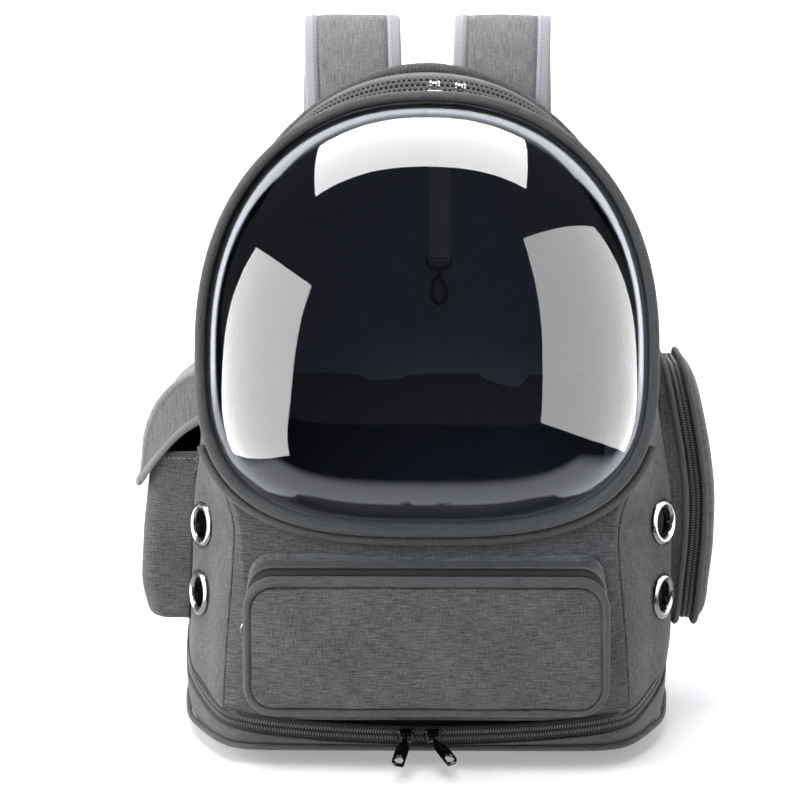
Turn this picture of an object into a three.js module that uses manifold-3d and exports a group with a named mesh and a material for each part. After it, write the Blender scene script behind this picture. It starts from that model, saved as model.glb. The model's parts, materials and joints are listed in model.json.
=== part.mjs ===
// A bubble pet carrier backpack: an arched fabric bag with a clear domed window in its front, a zipped base,
// a front pocket, an open bottle pocket under a flap, a zipped side pocket, air eyelets and padded straps.
// Millimetres, +Z up, the front faces -Y, and the origin is on the floor under the middle of the base.

import * as THREE from "three";
import { mergeVertices } from "three/addons/utils/BufferGeometryUtils.js";
import Module from "manifold-3d";

const wasm = await Module();
wasm.setup();

// Walls and gaps
const SEAT_GAP = 0.35; // between two pieces that touch
const FABRIC = 3; // padded cloth of the bag's walls
const POCKET_FABRIC = 2.5;
const TAPE = 1.3; // zip tape
const COIL_RIDGE = 1.4; // how far the zip's coil stands off its tape
const TOP_ZIP = TAPE + COIL_RIDGE / 2; // the top zip, tape and coil in one
const TOP_ZIP_BACK = 10; // its middle behind the window's plane
const TOP_ZIP_WIDTH = 10;
const MESH_EDGE = 6.5; // from the zip's middle, and from the bag's back, to the mesh
const MESH_DROP = 46; // how far down the arch the mesh reaches

// Bag body
const HALF_WIDTH = 162.5; // half the width just above the base, the widest place
const SPRING_HEIGHT = 262; // floor to where the arched top begins
const FRONT_TOP = 421; // floor to the top of the arch at the front
const BACK_TOP = 429; // and at the back
const FRONT_FOOT_Y = -122; // front panel at the floor
const FRAME_FOOT_Y = -107; // front panel under the window frame
const FRONT_TOP_Y = -48; // front wall at the top of the arch
const BACK_Y = 108; // back edge of the side walls
const FRAME_FOOT_Z = 142; // floor to the bottom of the window frame
const ARCH_POWER = { front: 2.23, back: 1.9 }; // roundness of the arch, where 2 is an ellipse
const ARCH_STEPS = 8;
const FRONT_BOW = 3; // how far the middle of the front panel swells
const SIDE_SEAM_Z = 251; // where the arched top panel is sewn to the side panels
const ROOM = 60; // how far a cutting solid runs past what it cuts

// Base tray and its zip
const BASE_FRONT_Y = -122;
const BASE_BACK_Y = 119;
const BASE_EDGE = 0.8; // how far the tray stands outside the bag's widest place
const BASE_TAPER = 6; // how far the tray draws in at the floor
const BASE_FLOOR = 4; // padded floor board
const ZIP_BAND = 12; // height of the two zip tapes together
const ZIP_FRONT = 11; // zip's height at the middle of the front
const ZIP_CORNER_RISE = 8; // more at the front corners
const ZIP_SIDE_RISE = 26; // and more again along the sides
const ZIP_RISE_RUN = 95; // over this depth
const ZIP_RISE_POWER = 1.4;
const BASE_PIPING = 1.5;

// Window
const WINDOW_HALF_WIDTH = 151.5; // outside of the fabric binding
const WINDOW_TOP = 427;
const WINDOW_LOW_POWER = 3; // squarer corners below the spring line
const BINDING_WIDTH = 6.5;
const BINDING_DEPTH = 6;
const FLANGE = 2; // thickness of the clear sheet
const FLANGE_WIDTH = 12; // from the binding's outside to where the dome rises
const BUBBLE_RISE = 88; // how far the dome stands out of its flange
const BUBBLE_POWER = 2.7;
const WINDOW_STEPS = 8; // points in a quarter of the outline
const FRAME_PIPING = 2.9;

// Air eyelets
const EYELET_HOLE = 10; // radius of the hole
const EYELET_RADIUS = 15.5;
const EYELET_SIDES = 14;
// Places along the depth and off the floor.
const EYELETS = {
  eyelet_left_upper: { side: -1, depth: 0.222, height: 138 },
  eyelet_left_lower: { side: -1, depth: 0.222, height: 92 },
  eyelet_right_upper: { side: 1, depth: 0.23, height: 140 },
  eyelet_right_lower: { side: 1, depth: 0.23, height: 90 },
};

// Front pocket
const POCKET_HALF_WIDTH = 118;
const POCKET_LOW = 29.5;
const POCKET_HIGH = 117;
const POCKET_DEPTH = 24;
const POCKET_RADIUS = 20;
const POCKET_SWELL = 5;
const POCKET_FLARE = 4; // how much wider each side is where it is sewn on
const POCKET_TOP_FLARE = 9; // and how much higher its top
const POCKET_PIPING = 2.6;
const POCKET_ZIP_WIDTH = 9;

// Side pockets
const SIDE_FRONT_Y = -44;
const SIDE_BACK_Y = 84;
const SIDE_LOW = 60;
const SIDE_OUT = 38; // how far the flap stands out of the bag's side
const BOTTLE_TOP = 184; // mouth of the open pocket
const FLAP_TOP = 246;
const FLAP_TIP = 163; // lowest edge of the flap, on its outer side
const FLAP_ROOT_LOW = 208; // lowest edge of the flap, against the bag
const FLAP_BINDING = 2.2;
const CARGO_TOP = 244; // top of the zipped pocket
const CARGO_RADIUS = 46;
const CARGO_OUT = 33; // how far the zipped pocket stands out
const CARGO_SINK = 9; // how much less at its bottom
const CARGO_SINK_RUN = 110; // over this height
const CARGO_GUSSET = 11;
const CARGO_ZIP = 9;
const CARGO_PIPING = 2;

// Back panel
const BACK_PANEL = 13; // thickness
const BACK_ROLL = 4.8; // radius of the padded roll round its edge
const BACK_PAD = { thickness: 9, halfWidth: 116, low: 66, belowStrap: 24.7, radius: 50 };
const PANEL_CROWN = 26; // how far in from its edge the back panel is flat

// Straps
const STRAP_WIDTH = 70;
const STRAP_END_WIDTH = 52;
const STRAP_THICKNESS = 7;
const STRAP_X = 52; // middle of the strap at the top
const STRAP_SPREAD = 14; // how much further out it ends
const STRAP_TOP_Z = 469;
const STRAP_END_Z = 168;
const STRAP_REACH = 68; // how far it stands behind its root
const STRAP_BINDING_SHARE = 0.135;
const WEBBING_WIDTH = 25;
const WEBBING = 1.6;
const WEBBING_FOOT_X = 118;
const WEBBING_FOOT_Z = 26;

// Zip sliders and their tabs
const SLIDER = { length: 11, width: 9, thickness: 2.8 };
const BAR = 0.8; // radius of the bar that a tab hangs on
const EYE_HOLE = 1.2;
const EYE = 2.4;
const EYE_LENGTH = 3.6;
const LUG = 1.4;
const BASE_TAB = { length: 33, width: 9, thickness: 1.8 };
const TOP_TAB = { length: 22, width: 6, thickness: 1.5 };
const BASE_TAB_CLEAR = 1.1; // under the tip of a resting tab
const BASE_SLIDER_X = { left: -13, right: 4.5 };
const BASE_TAB_SPLAY = { left: 10, right: 24 }; // degrees
const TOP_SLIDER_X = { left: 4.5, right: 21 };
const TOP_TAB_REST = 77; // degrees that a top tab lies back from hanging

// Tether and lining in the cabin
const TETHER_X = 9;
const TETHER_WIDTH = 16;
const TETHER_LOW = 296;
const HOOK_LENGTH = 34;
const LINER_TOP = 222;
const LINER = 2.2;

// Half-widths of the bag as shares of HALF_WIDTH: on the front panel, round its corner, along the flank and at
// the back, and how much fuller its right side is. LOWER_LEVELS climb by shares of FRAME_FOOT_Z, and
// UPPER_LEVELS by shares of the way from there to SPRING_HEIGHT.
const ZIP_LEVEL = { front: 0.743, corner: 0.82, bend: 0.91, side: 0.998, flank: 1.04, back: 1.02, right: 0 };
const LOWER_LEVELS = [
  { climb: 0.48, front: 0.738, corner: 0.808, bend: 0.9, side: 0.982, flank: 1.022, back: 1.0, right: 0.03 },
  { climb: 0.78, front: 0.735, corner: 0.79, bend: 0.885, side: 0.976, flank: 1.003, back: 0.98, right: 0.045 },
  { climb: 1.0, front: 0.735, corner: 0.782, bend: 0.874, side: 0.969, flank: 0.985, back: 0.957, right: 0.05 },
];
const UPPER_LEVELS = [
  { climb: 0.32, front: 0.82, corner: 0.84, bend: 0.894, side: 0.951, flank: 0.96, back: 0.942, right: 0.045 },
  { climb: 0.66, front: 0.898, corner: 0.902, bend: 0.912, side: 0.928, flank: 0.935, back: 0.92, right: 0.025 },
  { climb: 1.0, front: 0.918, corner: 0.918, bend: 0.918, side: 0.918, flank: 0.916, back: 0.9, right: 0 },
];
// Along the depth: share of the way back, which of those widths rules, how much of the right side's fullness,
// and the share of the arch's rise.
const STATIONS = [
  { depth: 0, width: "front", full: 0, rise: 0 },
  { depth: 0.03, width: "corner", full: 0, rise: 0.03 },
  { depth: 0.16, width: "bend", full: 0.6, rise: 0.14 },
  { depth: 0.3, width: "side", full: 1, rise: 0.28 },
  { depth: 0.6, width: "flank", full: 1, rise: 0.6 },
  { depth: 1, width: "back", full: 0, rise: 1 },
];
// The base's plan from its front to its back: shares of HALF_WIDTH and of its depth.
const BASE_PLAN = [
  { across: 0.743, back: 0 },
  { across: 0.82, back: 0.03 },
  { across: 0.91, back: 0.152 },
  { across: 0.998, back: 0.286 },
  { across: 1.04, back: 0.573 },
  { across: 1.02, back: 0.954 },
  { across: 0.99, back: 0.988 },
  { across: 0.93, back: 1 },
];
const CAP_COLUMNS = 4;
const BODY_FOOT = 8; // where the body's form begins, under its zip
// The strap's middle line: shares of STRAP_REACH behind its root, and of the way from its end to its top.
const STRAP_LINE = [
  { back: 0, height: 0.74 },
  { back: 0.02, height: 0.85 },
  { back: 0.12, height: 0.945 },
  { back: 0.32, height: 0.995 },
  { back: 0.56, height: 0.99 },
  { back: 0.78, height: 0.92 },
  { back: 0.93, height: 0.77 },
  { back: 1, height: 0.52 },
  { back: 0.95, height: 0.3 },
  { back: 0.86, height: 0.12 },
  { back: 0.8, height: 0 },
];
// The bottle pocket from its bottom up: share of its height, and share of SIDE_OUT.
const BOTTLE_LINE = [
  { climb: 0, out: 0.34 },
  { climb: 0.08, out: 0.62 },
  { climb: 0.3, out: 0.8 },
  { climb: 0.65, out: 0.84 },
  { climb: 1, out: 0.8 },
];
// The flap's outer line seen from the front: share of its drop from FLAP_TOP, and share of SIDE_OUT.
const FLAP_LINE = [
  { drop: 0.03, out: 0.26 },
  { drop: 0.12, out: 0.52 },
  { drop: 0.3, out: 0.8 },
  { drop: 0.55, out: 0.95 },
  { drop: 0.8, out: 0.97 },
  { drop: 1, out: 0.98 },
];

const cloth = (name, color) =>
  new THREE.MeshStandardMaterial({ name, color, roughness: 0.92, metalness: 0 });
const FABRIC_GREY = cloth("heather_fabric", 0x6b6b6b);
const PIPING_GREY = cloth("piping", 0x747472);
const STRAP_GREY = cloth("strap_fabric", 0x8e8e8e);
const PALE_TAPE = cloth("pale_binding", 0xc4c3cb);
const MESH_GREY = cloth("spacer_mesh", 0x6a6a6a);
const DARK_TAPE = cloth("zip_tape", 0x3a3a3a);
const LINING = cloth("lining", 0x23262e);
const WEB_GREY = cloth("webbing", 0x5d6468);
const CLEAR = new THREE.MeshStandardMaterial({
  name: "clear_bubble",
  color: 0x9aa2b0,
  roughness: 0.05,
  metalness: 0,
  transparent: true,
  opacity: 0.35,
});
const GUNMETAL = new THREE.MeshStandardMaterial({
  name: "black_nickel",
  color: 0x303030,
  roughness: 0.25,
  metalness: 1,
});
const STEEL = new THREE.MeshStandardMaterial({
  name: "eyelet_steel",
  color: 0x9a9694,
  roughness: 0.22,
  metalness: 1,
});
const BLACK_PLASTIC = new THREE.MeshStandardMaterial({
  name: "buckle_plastic",
  color: 0x1c1c1c,
  roughness: 0.5,
  metalness: 0,
});

const lerp = THREE.MathUtils.lerp;
const radians = THREE.MathUtils.degToRad;
const smooth = (t) => THREE.MathUtils.smoothstep(t, 0, 1);

// Closed geometry as a manifold-3d solid, turned outwards if its faces point in.
function solidOf(geometry) {
  const bare = geometry.index ? geometry.toNonIndexed() : geometry;
  const points = new THREE.BufferGeometry().setAttribute("position", bare.getAttribute("position"));
  const merged = mergeVertices(points, 1e-4);
  const build = (triVerts) =>
    new wasm.Manifold(
      new wasm.Mesh({ numProp: 3, vertProperties: merged.attributes.position.array, triVerts }),
    );
  const index = merged.index.array;
  const kept = [];
  for (let i = 0; i < index.length; i += 3) {
    const [a, b, c] = index.slice(i, i + 3);
    if (a !== b && b !== c && a !== c) kept.push(a, b, c);
  }
  const solid = build(new Uint32Array(kept));
  if (solid.volume() > 0) return solid;
  for (let i = 0; i < kept.length; i += 3) [kept[i + 1], kept[i + 2]] = [kept[i + 2], kept[i + 1]];
  return build(new Uint32Array(kept));
}

function geometryOf(solid) {
  const mesh = solid.getMesh();
  const geometry = new THREE.BufferGeometry();
  geometry.setAttribute("position", new THREE.BufferAttribute(mesh.vertProperties, 3));
  geometry.setIndex(new THREE.BufferAttribute(mesh.triVerts, 1));
  return geometry;
}

// Triangles gathered from grids of points, for walls that no ready geometry gives.
class Skin {
  constructor() {
    this.corners = [];
  }
  triangle(a, b, c) {
    this.corners.push(...a, ...b, ...c);
  }
  quad(a, b, c, d) {
    this.triangle(a, b, c);
    this.triangle(a, c, d);
  }
  // pointAt(row, column) over rows x columns cells
  grid(rows, columns, pointAt, turned = false) {
    for (let r = 0; r < rows; r++)
      for (let c = 0; c < columns; c++) {
        const cell = [pointAt(r, c), pointAt(r, c + 1), pointAt(r + 1, c + 1), pointAt(r + 1, c)];
        this.quad(...(turned ? cell.reverse() : cell));
      }
  }
  fan(ring, turned) {
    const middle = [0, 1, 2].map((k) => ring.reduce((sum, p) => sum + p[k], 0) / ring.length);
    ring.forEach((p, i) => {
      const next = ring[(i + 1) % ring.length];
      if (turned) this.triangle(middle, next, p);
      else this.triangle(middle, p, next);
    });
  }
  solid() {
    const geometry = new THREE.BufferGeometry();
    geometry.setAttribute("position", new THREE.Float32BufferAttribute(this.corners, 3));
    return solidOf(geometry);
  }
}

// A solid through closed rings of points. Its ends are filled, or the last ring joins the first.
function loft(rings, joined = false) {
  const skin = new Skin();
  const around = rings[0].length;
  const spans = joined ? rings.length : rings.length - 1;
  skin.grid(spans, around, (r, c) => rings[r % rings.length][c % around]);
  if (!joined) {
    skin.fan(rings[0], true);
    skin.fan(rings[rings.length - 1], false);
  }
  return skin.solid();
}

// A rounded rectangle as a ring of [a, b], counted from its low side, with its own radius at each side.
function roundedRing(low, high, radiusLow, radiusHigh, inset = 0, steps = 4) {
  const corners = [
    { a: high[0], b: low[1], radius: radiusLow, turn: -90 },
    { a: high[0], b: high[1], radius: radiusHigh, turn: 0 },
    { a: low[0], b: high[1], radius: radiusHigh, turn: 90 },
    { a: low[0], b: low[1], radius: radiusLow, turn: 180 },
  ];
  return corners.flatMap(({ a, b, radius, turn }) => {
    const toA = a === high[0] ? -1 : 1;
    const toB = b === high[1] ? -1 : 1;
    const arc = Math.max(radius - inset, 0.5);
    const middle = [a + toA * (inset + arc), b + toB * (inset + arc)];
    return Array.from({ length: steps + 1 }, (_, i) => {
      const angle = radians(turn + (90 * i) / steps);
      return [middle[0] + arc * Math.cos(angle), middle[1] + arc * Math.sin(angle)];
    });
  });
}

const box = (x0, x1, y0, y1, z0, z1) =>
  solidOf(
    new THREE.BoxGeometry(x1 - x0, y1 - y0, z1 - z0).translate((x0 + x1) / 2, (y0 + y1) / 2, (z0 + z1) / 2),
  );

// A round tube along points: closed on itself, or with flat ends.
function tube(points, radius, closed, steps, sides = 8) {
  const curve = new THREE.CatmullRomCurve3(
    points.map((p) => new THREE.Vector3(...p)),
    closed,
    "centripetal",
  );
  const { normals, binormals } = curve.computeFrenetFrames(steps, closed);
  const rings = Array.from({ length: closed ? steps : steps + 1 }, (_, i) => {
    const middle = curve.getPointAt(i / steps);
    return Array.from({ length: sides }, (_, k) => {
      const angle = (2 * Math.PI * k) / sides;
      const p = middle.clone().addScaledVector(normals[i], radius * Math.cos(angle));
      return p.addScaledVector(binormals[i], radius * Math.sin(angle)).toArray();
    });
  });
  return loft(rings, closed);
}

// A round cord along a closed ring that a function gives for an inset and a distance out.
function ringPiping(ringAt, inset, out, radius, sides = 5) {
  const sections = Array.from({ length: sides }, (_, k) => {
    const angle = (2 * Math.PI * k) / sides;
    return ringAt(inset + radius * Math.cos(angle), out + radius * Math.sin(angle));
  });
  return loft(sections, true);
}

// Bag body

// Height of the middle of the base zip at a place on its way round.
function zipHeight(x, y) {
  const across = Math.min(1, (x / (ZIP_LEVEL.front * HALF_WIDTH)) ** 2);
  const along = THREE.MathUtils.clamp((y - BASE_FRONT_Y) / ZIP_RISE_RUN, 0, 1);
  return ZIP_FRONT + ZIP_CORNER_RISE * Math.max(across, along) + ZIP_SIDE_RISE * along ** ZIP_RISE_POWER;
}

// The plane that the window lies in, carried on above and below it.
const windowPlaneY = (z) =>
  FRAME_FOOT_Y + ((FRONT_TOP_Y - FRAME_FOOT_Y) * (z - FRAME_FOOT_Z)) / (FRONT_TOP - FRAME_FOOT_Z);
const frontY = (z) =>
  z > FRAME_FOOT_Z ? windowPlaneY(z) : lerp(FRONT_FOOT_Y, FRAME_FOOT_Y, z / FRAME_FOOT_Z);

const mixed = (row, station, side) =>
  (row[station.width] + (side > 0 ? row.right * station.full : 0)) * HALF_WIDTH;

// The bag's levels on one side of a station, from the zip to the top of the arch, as half-width and height.
function levelsAt(station, grow, side) {
  const straight = [
    ...LOWER_LEVELS.map((row) => ({ z: row.climb * FRAME_FOOT_Z, x: mixed(row, station, side) })),
    ...UPPER_LEVELS.map((row) => ({
      z: lerp(FRAME_FOOT_Z, SPRING_HEIGHT, row.climb),
      x: mixed(row, station, side),
    })),
  ];
  const spring = straight[straight.length - 1];
  const rise = lerp(FRONT_TOP, BACK_TOP, station.rise) + grow - SPRING_HEIGHT;
  const power = lerp(ARCH_POWER.front, ARCH_POWER.back, station.rise);
  const arch = Array.from({ length: ARCH_STEPS }, (_, i) => {
    const angle = (Math.PI / 2) * ((i + 1) / ARCH_STEPS);
    const across = i + 1 === ARCH_STEPS ? 0 : Math.cos(angle) ** (2 / power);
    return {
      x: (spring.x + grow) * across,
      z: SPRING_HEIGHT + rise * Math.sin(angle) ** (2 / power),
    };
  });
  return [
    { x: mixed(ZIP_LEVEL, station, side) + grow, z: null },
    ...straight.map(({ x, z }) => ({ x: x + grow, z })),
    ...arch,
  ];
}

// The bag's outer form down to below its zip, grown or shrunk, and run on past its back where it is to be open.
function bodyForm(grow, pastBack = 0, lower = 0) {
  const sides = [-1, 1].map((side) => STATIONS.map((s) => levelsAt(s, grow, side)));
  const levels = sides[0][0].length;
  const last = STATIONS.length - 1;
  const at = (s, level, share) => {
    const place = sides[share < 0 ? 0 : 1][s][level];
    const z = place.z ?? BODY_FOOT - lower;
    const bow = s === 0 && z < FRAME_FOOT_Z ? FRONT_BOW * (1 - share * share) : 0;
    const front = frontY(z) - grow - bow * Math.sin((Math.PI * (z - BODY_FOOT)) / FRAME_FOOT_Z);
    return [place.x * share, lerp(front, BACK_Y, STATIONS[s].depth) + (s === last ? pastBack : 0), z];
  };
  const share = (c) => -1 + (2 * c) / CAP_COLUMNS;
  const skin = new Skin();
  skin.grid(last, levels - 1, (s, l) => at(s, l, -1));
  skin.grid(last, levels - 1, (s, l) => at(s, l, 1), true);
  skin.grid(levels - 1, CAP_COLUMNS, (l, c) => at(0, l, share(c)));
  skin.grid(levels - 1, CAP_COLUMNS, (l, c) => at(last, l, share(c)), true);
  skin.grid(last, CAP_COLUMNS, (s, c) => at(s, 0, share(c)), true);
  return skin.solid();
}

// The bag's left or right side at a height: half-width and depth of a point a share of the way along the depth.
function sidePoint(z, depth, side) {
  const next = STATIONS.findIndex((s) => s.depth >= depth);
  const [a, b] = [STATIONS[Math.max(next - 1, 0)], STATIONS[Math.max(next, 1)]];
  const t = (depth - a.depth) / (b.depth - a.depth);
  const widthAt = (station) => {
    const levels = levelsAt(station, 0, side).slice(1);
    const above = Math.max(levels.findIndex((l) => l.z >= z), 1);
    const [low, high] = [levels[above - 1], levels[above]];
    return lerp(low.x, high.x, (z - low.z) / (high.z - low.z));
  };
  return { x: lerp(widthAt(a), widthAt(b), t), y: lerp(frontY(z), BACK_Y, depth) };
}

// A point of the window's outline, drawn in by an inset, a share of a turn round from its right.
function windowPoint(turn, inset) {
  const angle = 2 * Math.PI * turn;
  const upper = Math.sin(angle) >= 0;
  const power = upper ? ARCH_POWER.front : WINDOW_LOW_POWER;
  const reach = upper ? WINDOW_TOP - SPRING_HEIGHT : SPRING_HEIGHT - FRAME_FOOT_Z;
  const shaped = (value) => Math.sign(value) * Math.abs(value) ** (2 / power);
  return [
    (WINDOW_HALF_WIDTH - inset) * shaped(Math.cos(angle)),
    SPRING_HEIGHT + (reach - inset) * shaped(Math.sin(angle)),
  ];
}

const WINDOW_POINTS = 4 * WINDOW_STEPS;
// The outline standing out of the window's plane, and shrunk towards its middle by a share.
function windowRing(inset, out, share = 1) {
  return Array.from({ length: WINDOW_POINTS }, (_, i) => {
    const [x, z] = windowPoint(i / WINDOW_POINTS, inset);
    const height = lerp(SPRING_HEIGHT, z, share);
    return [x * share, windowPlaneY(height) - out, height];
  });
}

const windowHole = () =>
  loft([windowRing(FLANGE_WIDTH + 3, 40), windowRing(FLANGE_WIDTH + 3, -40)]);

// Where each eyelet sits, and which way it faces.
function eyeletPlace({ side, depth, height }) {
  const [along, up] = [0.05, 12];
  const on = (z, share) => {
    const { x, y } = sidePoint(z, share, side);
    return new THREE.Vector3(side * x, y, z);
  };
  const back = on(height, depth + along).sub(on(height, depth - along));
  const facing = back.cross(on(height + up, depth).sub(on(height - up, depth))).normalize();
  if (facing.x * side < 0) facing.negate();
  return { at: on(height, depth), facing };
}

const placed = (geometry, at, facing) =>
  geometry
    .applyQuaternion(new THREE.Quaternion().setFromUnitVectors(new THREE.Vector3(0, 1, 0), facing))
    .translate(at.x, at.y, at.z);

const eyeletHole = ({ at, facing }, radius) =>
  solidOf(placed(new THREE.CylinderGeometry(radius, radius, 6 * FABRIC, EYELET_SIDES), at, facing));

function bodyWall(clearance = 0) {
  return bodyForm(clearance).subtract(bodyForm(-FABRIC - clearance, 20, 6));
}

// Everything under the zip's upper edge.
const belowZip = () => {
  const top = (x, y) => zipHeight(x, y) + ZIP_BAND / 2 + SEAT_GAP;
  return loft([
    baseRing(-8, () => -1),
    baseRing(-8, top),
    baseRing(2, top),
    baseRing(24, top),
    baseRing(ROOM, top),
  ]);
};

// Everything in front of a sheet that follows the bag's front, some depth behind it.
function beforeFront(behind) {
  const heights = [-ROOM, FRAME_FOOT_Z, FRONT_TOP + ROOM];
  const sheet = heights.map((z) => [frontY(z) + behind, z]);
  const outline = [
    [FRONT_FOOT_Y - ROOM, heights[2]],
    [FRONT_FOOT_Y - ROOM, heights[0]],
    ...sheet,
  ];
  return loft([-1, 1].map((side) => outline.map(([y, z]) => [side * 2 * HALF_WIDTH, y, z])));
}

// The wall as it is sewn together: a front round the window, two sides with the eyelet holes, an arched top.
function bodyPanels() {
  const wall = bodyWall().subtract(windowHole()).subtract(belowZip());
  const round = wall.subtract(beforeFront(FABRIC + SEAT_GAP));
  const half = (sign, low, high) => {
    const [x0, x1] = sign < 0 ? [-2 * HALF_WIDTH, 0] : [0, 2 * HALF_WIDTH];
    return box(x0, x1, FRONT_FOOT_Y - ROOM, BACK_Y + ROOM, low, high);
  };
  const holes = Object.values(EYELETS).map((row) => eyeletHole(eyeletPlace(row), EYELET_HOLE + 1.8));
  const side = (sign) =>
    holes.reduce(
      (panel, hole) => panel.subtract(hole),
      round.intersect(half(sign, 0, SIDE_SEAM_Z - SEAT_GAP / 2)),
    );
  const top = half(-1, SIDE_SEAM_Z + SEAT_GAP / 2, BACK_TOP + ROOM).add(
    half(1, SIDE_SEAM_Z + SEAT_GAP / 2, BACK_TOP + ROOM),
  );
  return {
    body_front: wall.intersect(beforeFront(FABRIC)),
    body_left: side(-1),
    body_right: side(1),
    body_top: round.intersect(top),
  };
}

// A steel ring through the wall, with a domed face outside and a flat washer inside.
function eyelet(place) {
  const face = 1.6;
  const washerThickness = 1.2;
  const lift = 4.5 * SEAT_GAP;
  const neck = EYELET_HOLE + 1.2;
  const washer = -FABRIC - lift;
  const profile = [
    [EYELET_HOLE, washer - washerThickness],
    [EYELET_RADIUS - 1, washer - washerThickness],
    [EYELET_RADIUS - 1, washer],
    [neck, washer],
    [neck, lift],
    [EYELET_RADIUS, lift],
    [(EYELET_RADIUS + EYELET_HOLE) / 2, lift + face],
    [EYELET_HOLE, lift + face * 0.5],
    [EYELET_HOLE, washer - washerThickness],
  ].map(([r, h]) => new THREE.Vector2(r, h));
  return solidOf(placed(new THREE.LatheGeometry(profile, EYELET_SIDES), place.at, place.facing));
}

// Base

// The base's plan drawn in, its long sides cut up so that the zip can rise along them.
function baseRing(inset, heightAt) {
  const half = BASE_PLAN.map(({ across, back }) => [
    across * HALF_WIDTH + BASE_EDGE,
    lerp(BASE_FRONT_Y, BASE_BACK_Y, back),
  ]);
  const corners = [...half, ...half.map(([x, y]) => [-x, y]).reverse()];
  const at = (i) => corners[(i + corners.length) % corners.length];
  const outward = (i) => {
    const [dx, dy] = [at(i + 1)[0] - at(i)[0], at(i + 1)[1] - at(i)[1]];
    return [dy / Math.hypot(dx, dy), -dx / Math.hypot(dx, dy)];
  };
  const drawnIn = corners.map(([x, y], i) => {
    const [a, b] = [outward(i - 1), outward(i)];
    const spread = 1 + a[0] * b[0] + a[1] * b[1];
    return [x - (inset * (a[0] + b[0])) / spread, y - (inset * (a[1] + b[1])) / spread];
  });
  return drawnIn
    .flatMap((p, i) => {
      const next = drawnIn[(i + 1) % corners.length];
      const cuts = Math.ceil(Math.hypot(at(i + 1)[0] - at(i)[0], at(i + 1)[1] - at(i)[1]) / 60);
      return Array.from({ length: cuts }, (_, k) => [
        lerp(p[0], next[0], k / cuts),
        lerp(p[1], next[1], k / cuts),
      ]);
    })
    .map(([x, y]) => [x, y, heightAt(x, y)]);
}

const trayTop = (x, y) => zipHeight(x, y) - ZIP_BAND / 2 - SEAT_GAP;

const baseTray = () =>
  loft([
    baseRing(BASE_TAPER, () => 0),
    baseRing(BASE_TAPER * 0.7, () => 1.2),
    baseRing(BASE_TAPER * 0.5, () => 3.9),
    baseRing(0, trayTop),
    baseRing(FABRIC, trayTop),
    baseRing(BASE_TAPER * 0.5 + FABRIC, () => BASE_FLOOR),
  ]);

// Two tapes with a ridge of coil along their middle, as a ring or as a strip.
function zipSection(width) {
  const half = width / 2;
  return [
    [-half, 0],
    [-half, TAPE],
    [-half * 0.4, TAPE + COIL_RIDGE],
    [half * 0.4, TAPE + COIL_RIDGE],
    [half, TAPE],
    [half, 0],
  ];
}

const baseZip = () =>
  loft(
    zipSection(ZIP_BAND).map(([across, out]) =>
      baseRing(FABRIC - out, (x, y) => zipHeight(x, y) + across),
    ),
    true,
  );

const basePiping = () =>
  ringPiping(
    (inset, out) => baseRing(inset, () => BASE_PIPING + 0.6 + out),
    BASE_TAPER * 0.6 - BASE_PIPING - SEAT_GAP,
    0,
    BASE_PIPING,
  );

// Window

const frameBinding = () => {
  const low = FLANGE + 2 * SEAT_GAP;
  const high = low + BINDING_DEPTH;
  return loft(
    [
      windowRing(0.8, low),
      windowRing(0, low + 1.5),
      windowRing(0, high - 2),
      windowRing(2, high),
      windowRing(BINDING_WIDTH - 1.5, high - 0.4),
      windowRing(BINDING_WIDTH, high - 2),
      windowRing(BINDING_WIDTH, low),
    ],
    true,
  );
};

// The piping under the window, which sinks into the bag's corners at both ends.
const framePiping = () => {
  const path = Array.from({ length: 21 }, (_, i) => {
    const low = smooth(Math.min(1, Math.sin(Math.PI * (i / 20)) * 2));
    const [x, z] = windowPoint(lerp(0.56, 0.94, i / 20), -FRAME_PIPING - SEAT_GAP);
    return [x, windowPlaneY(z) - lerp(-FRAME_PIPING * 0.4, FRAME_PIPING * 0.7, low), z];
  });
  return tube(path, FRAME_PIPING, false, 18, 6).subtract(bodyForm(SEAT_GAP));
};

function bubbleRings(inset, rise) {
  const shares = [1, 0.98, 0.92, 0.8, 0.58, 0.28];
  return shares.map((share) => {
    const curve = (1 - share ** BUBBLE_POWER) ** (1 / 1.75);
    return windowRing(inset, SEAT_GAP + rise * curve, share);
  });
}

function bubbleWindow() {
  const edge = 2;
  const outside = bubbleRings(FLANGE_WIDTH, BUBBLE_RISE).map((ring, i) =>
    i === 0 ? windowRing(FLANGE_WIDTH, SEAT_GAP + FLANGE) : ring,
  );
  const inside = bubbleRings(FLANGE_WIDTH + FLANGE, BUBBLE_RISE - FLANGE);
  return loft([
    ...outside.reverse(),
    windowRing(edge, SEAT_GAP + FLANGE),
    windowRing(edge, SEAT_GAP),
    ...inside,
  ]);
}

// Top zip and mesh, laid on the arch behind the window

// A skin on the bag's outside between two depths behind the window's plane.
function archSkin(thickness, from, to, lowest) {
  const [reach, highest] = [HALF_WIDTH + ROOM, BACK_TOP + ROOM];
  const slab = loft(
    [from, to].map((depth) =>
      [
        [-reach, lowest],
        [reach, lowest],
        [reach, highest],
        [-reach, highest],
      ].map(([x, z]) => [x, windowPlaneY(z) + depth, z]),
    ),
  );
  return bodyForm(SEAT_GAP + thickness).subtract(bodyForm(SEAT_GAP)).intersect(slab);
}

const topZip = () =>
  archSkin(
    TOP_ZIP,
    TOP_ZIP_BACK - TOP_ZIP_WIDTH / 2,
    TOP_ZIP_BACK + TOP_ZIP_WIDTH / 2,
    SIDE_SEAM_Z,
  );

const topMesh = () =>
  archSkin(
    TAPE,
    TOP_ZIP_BACK + MESH_EDGE,
    BACK_Y - FRONT_TOP_Y - MESH_EDGE,
    FRONT_TOP - MESH_DROP,
  );

// Back

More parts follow.
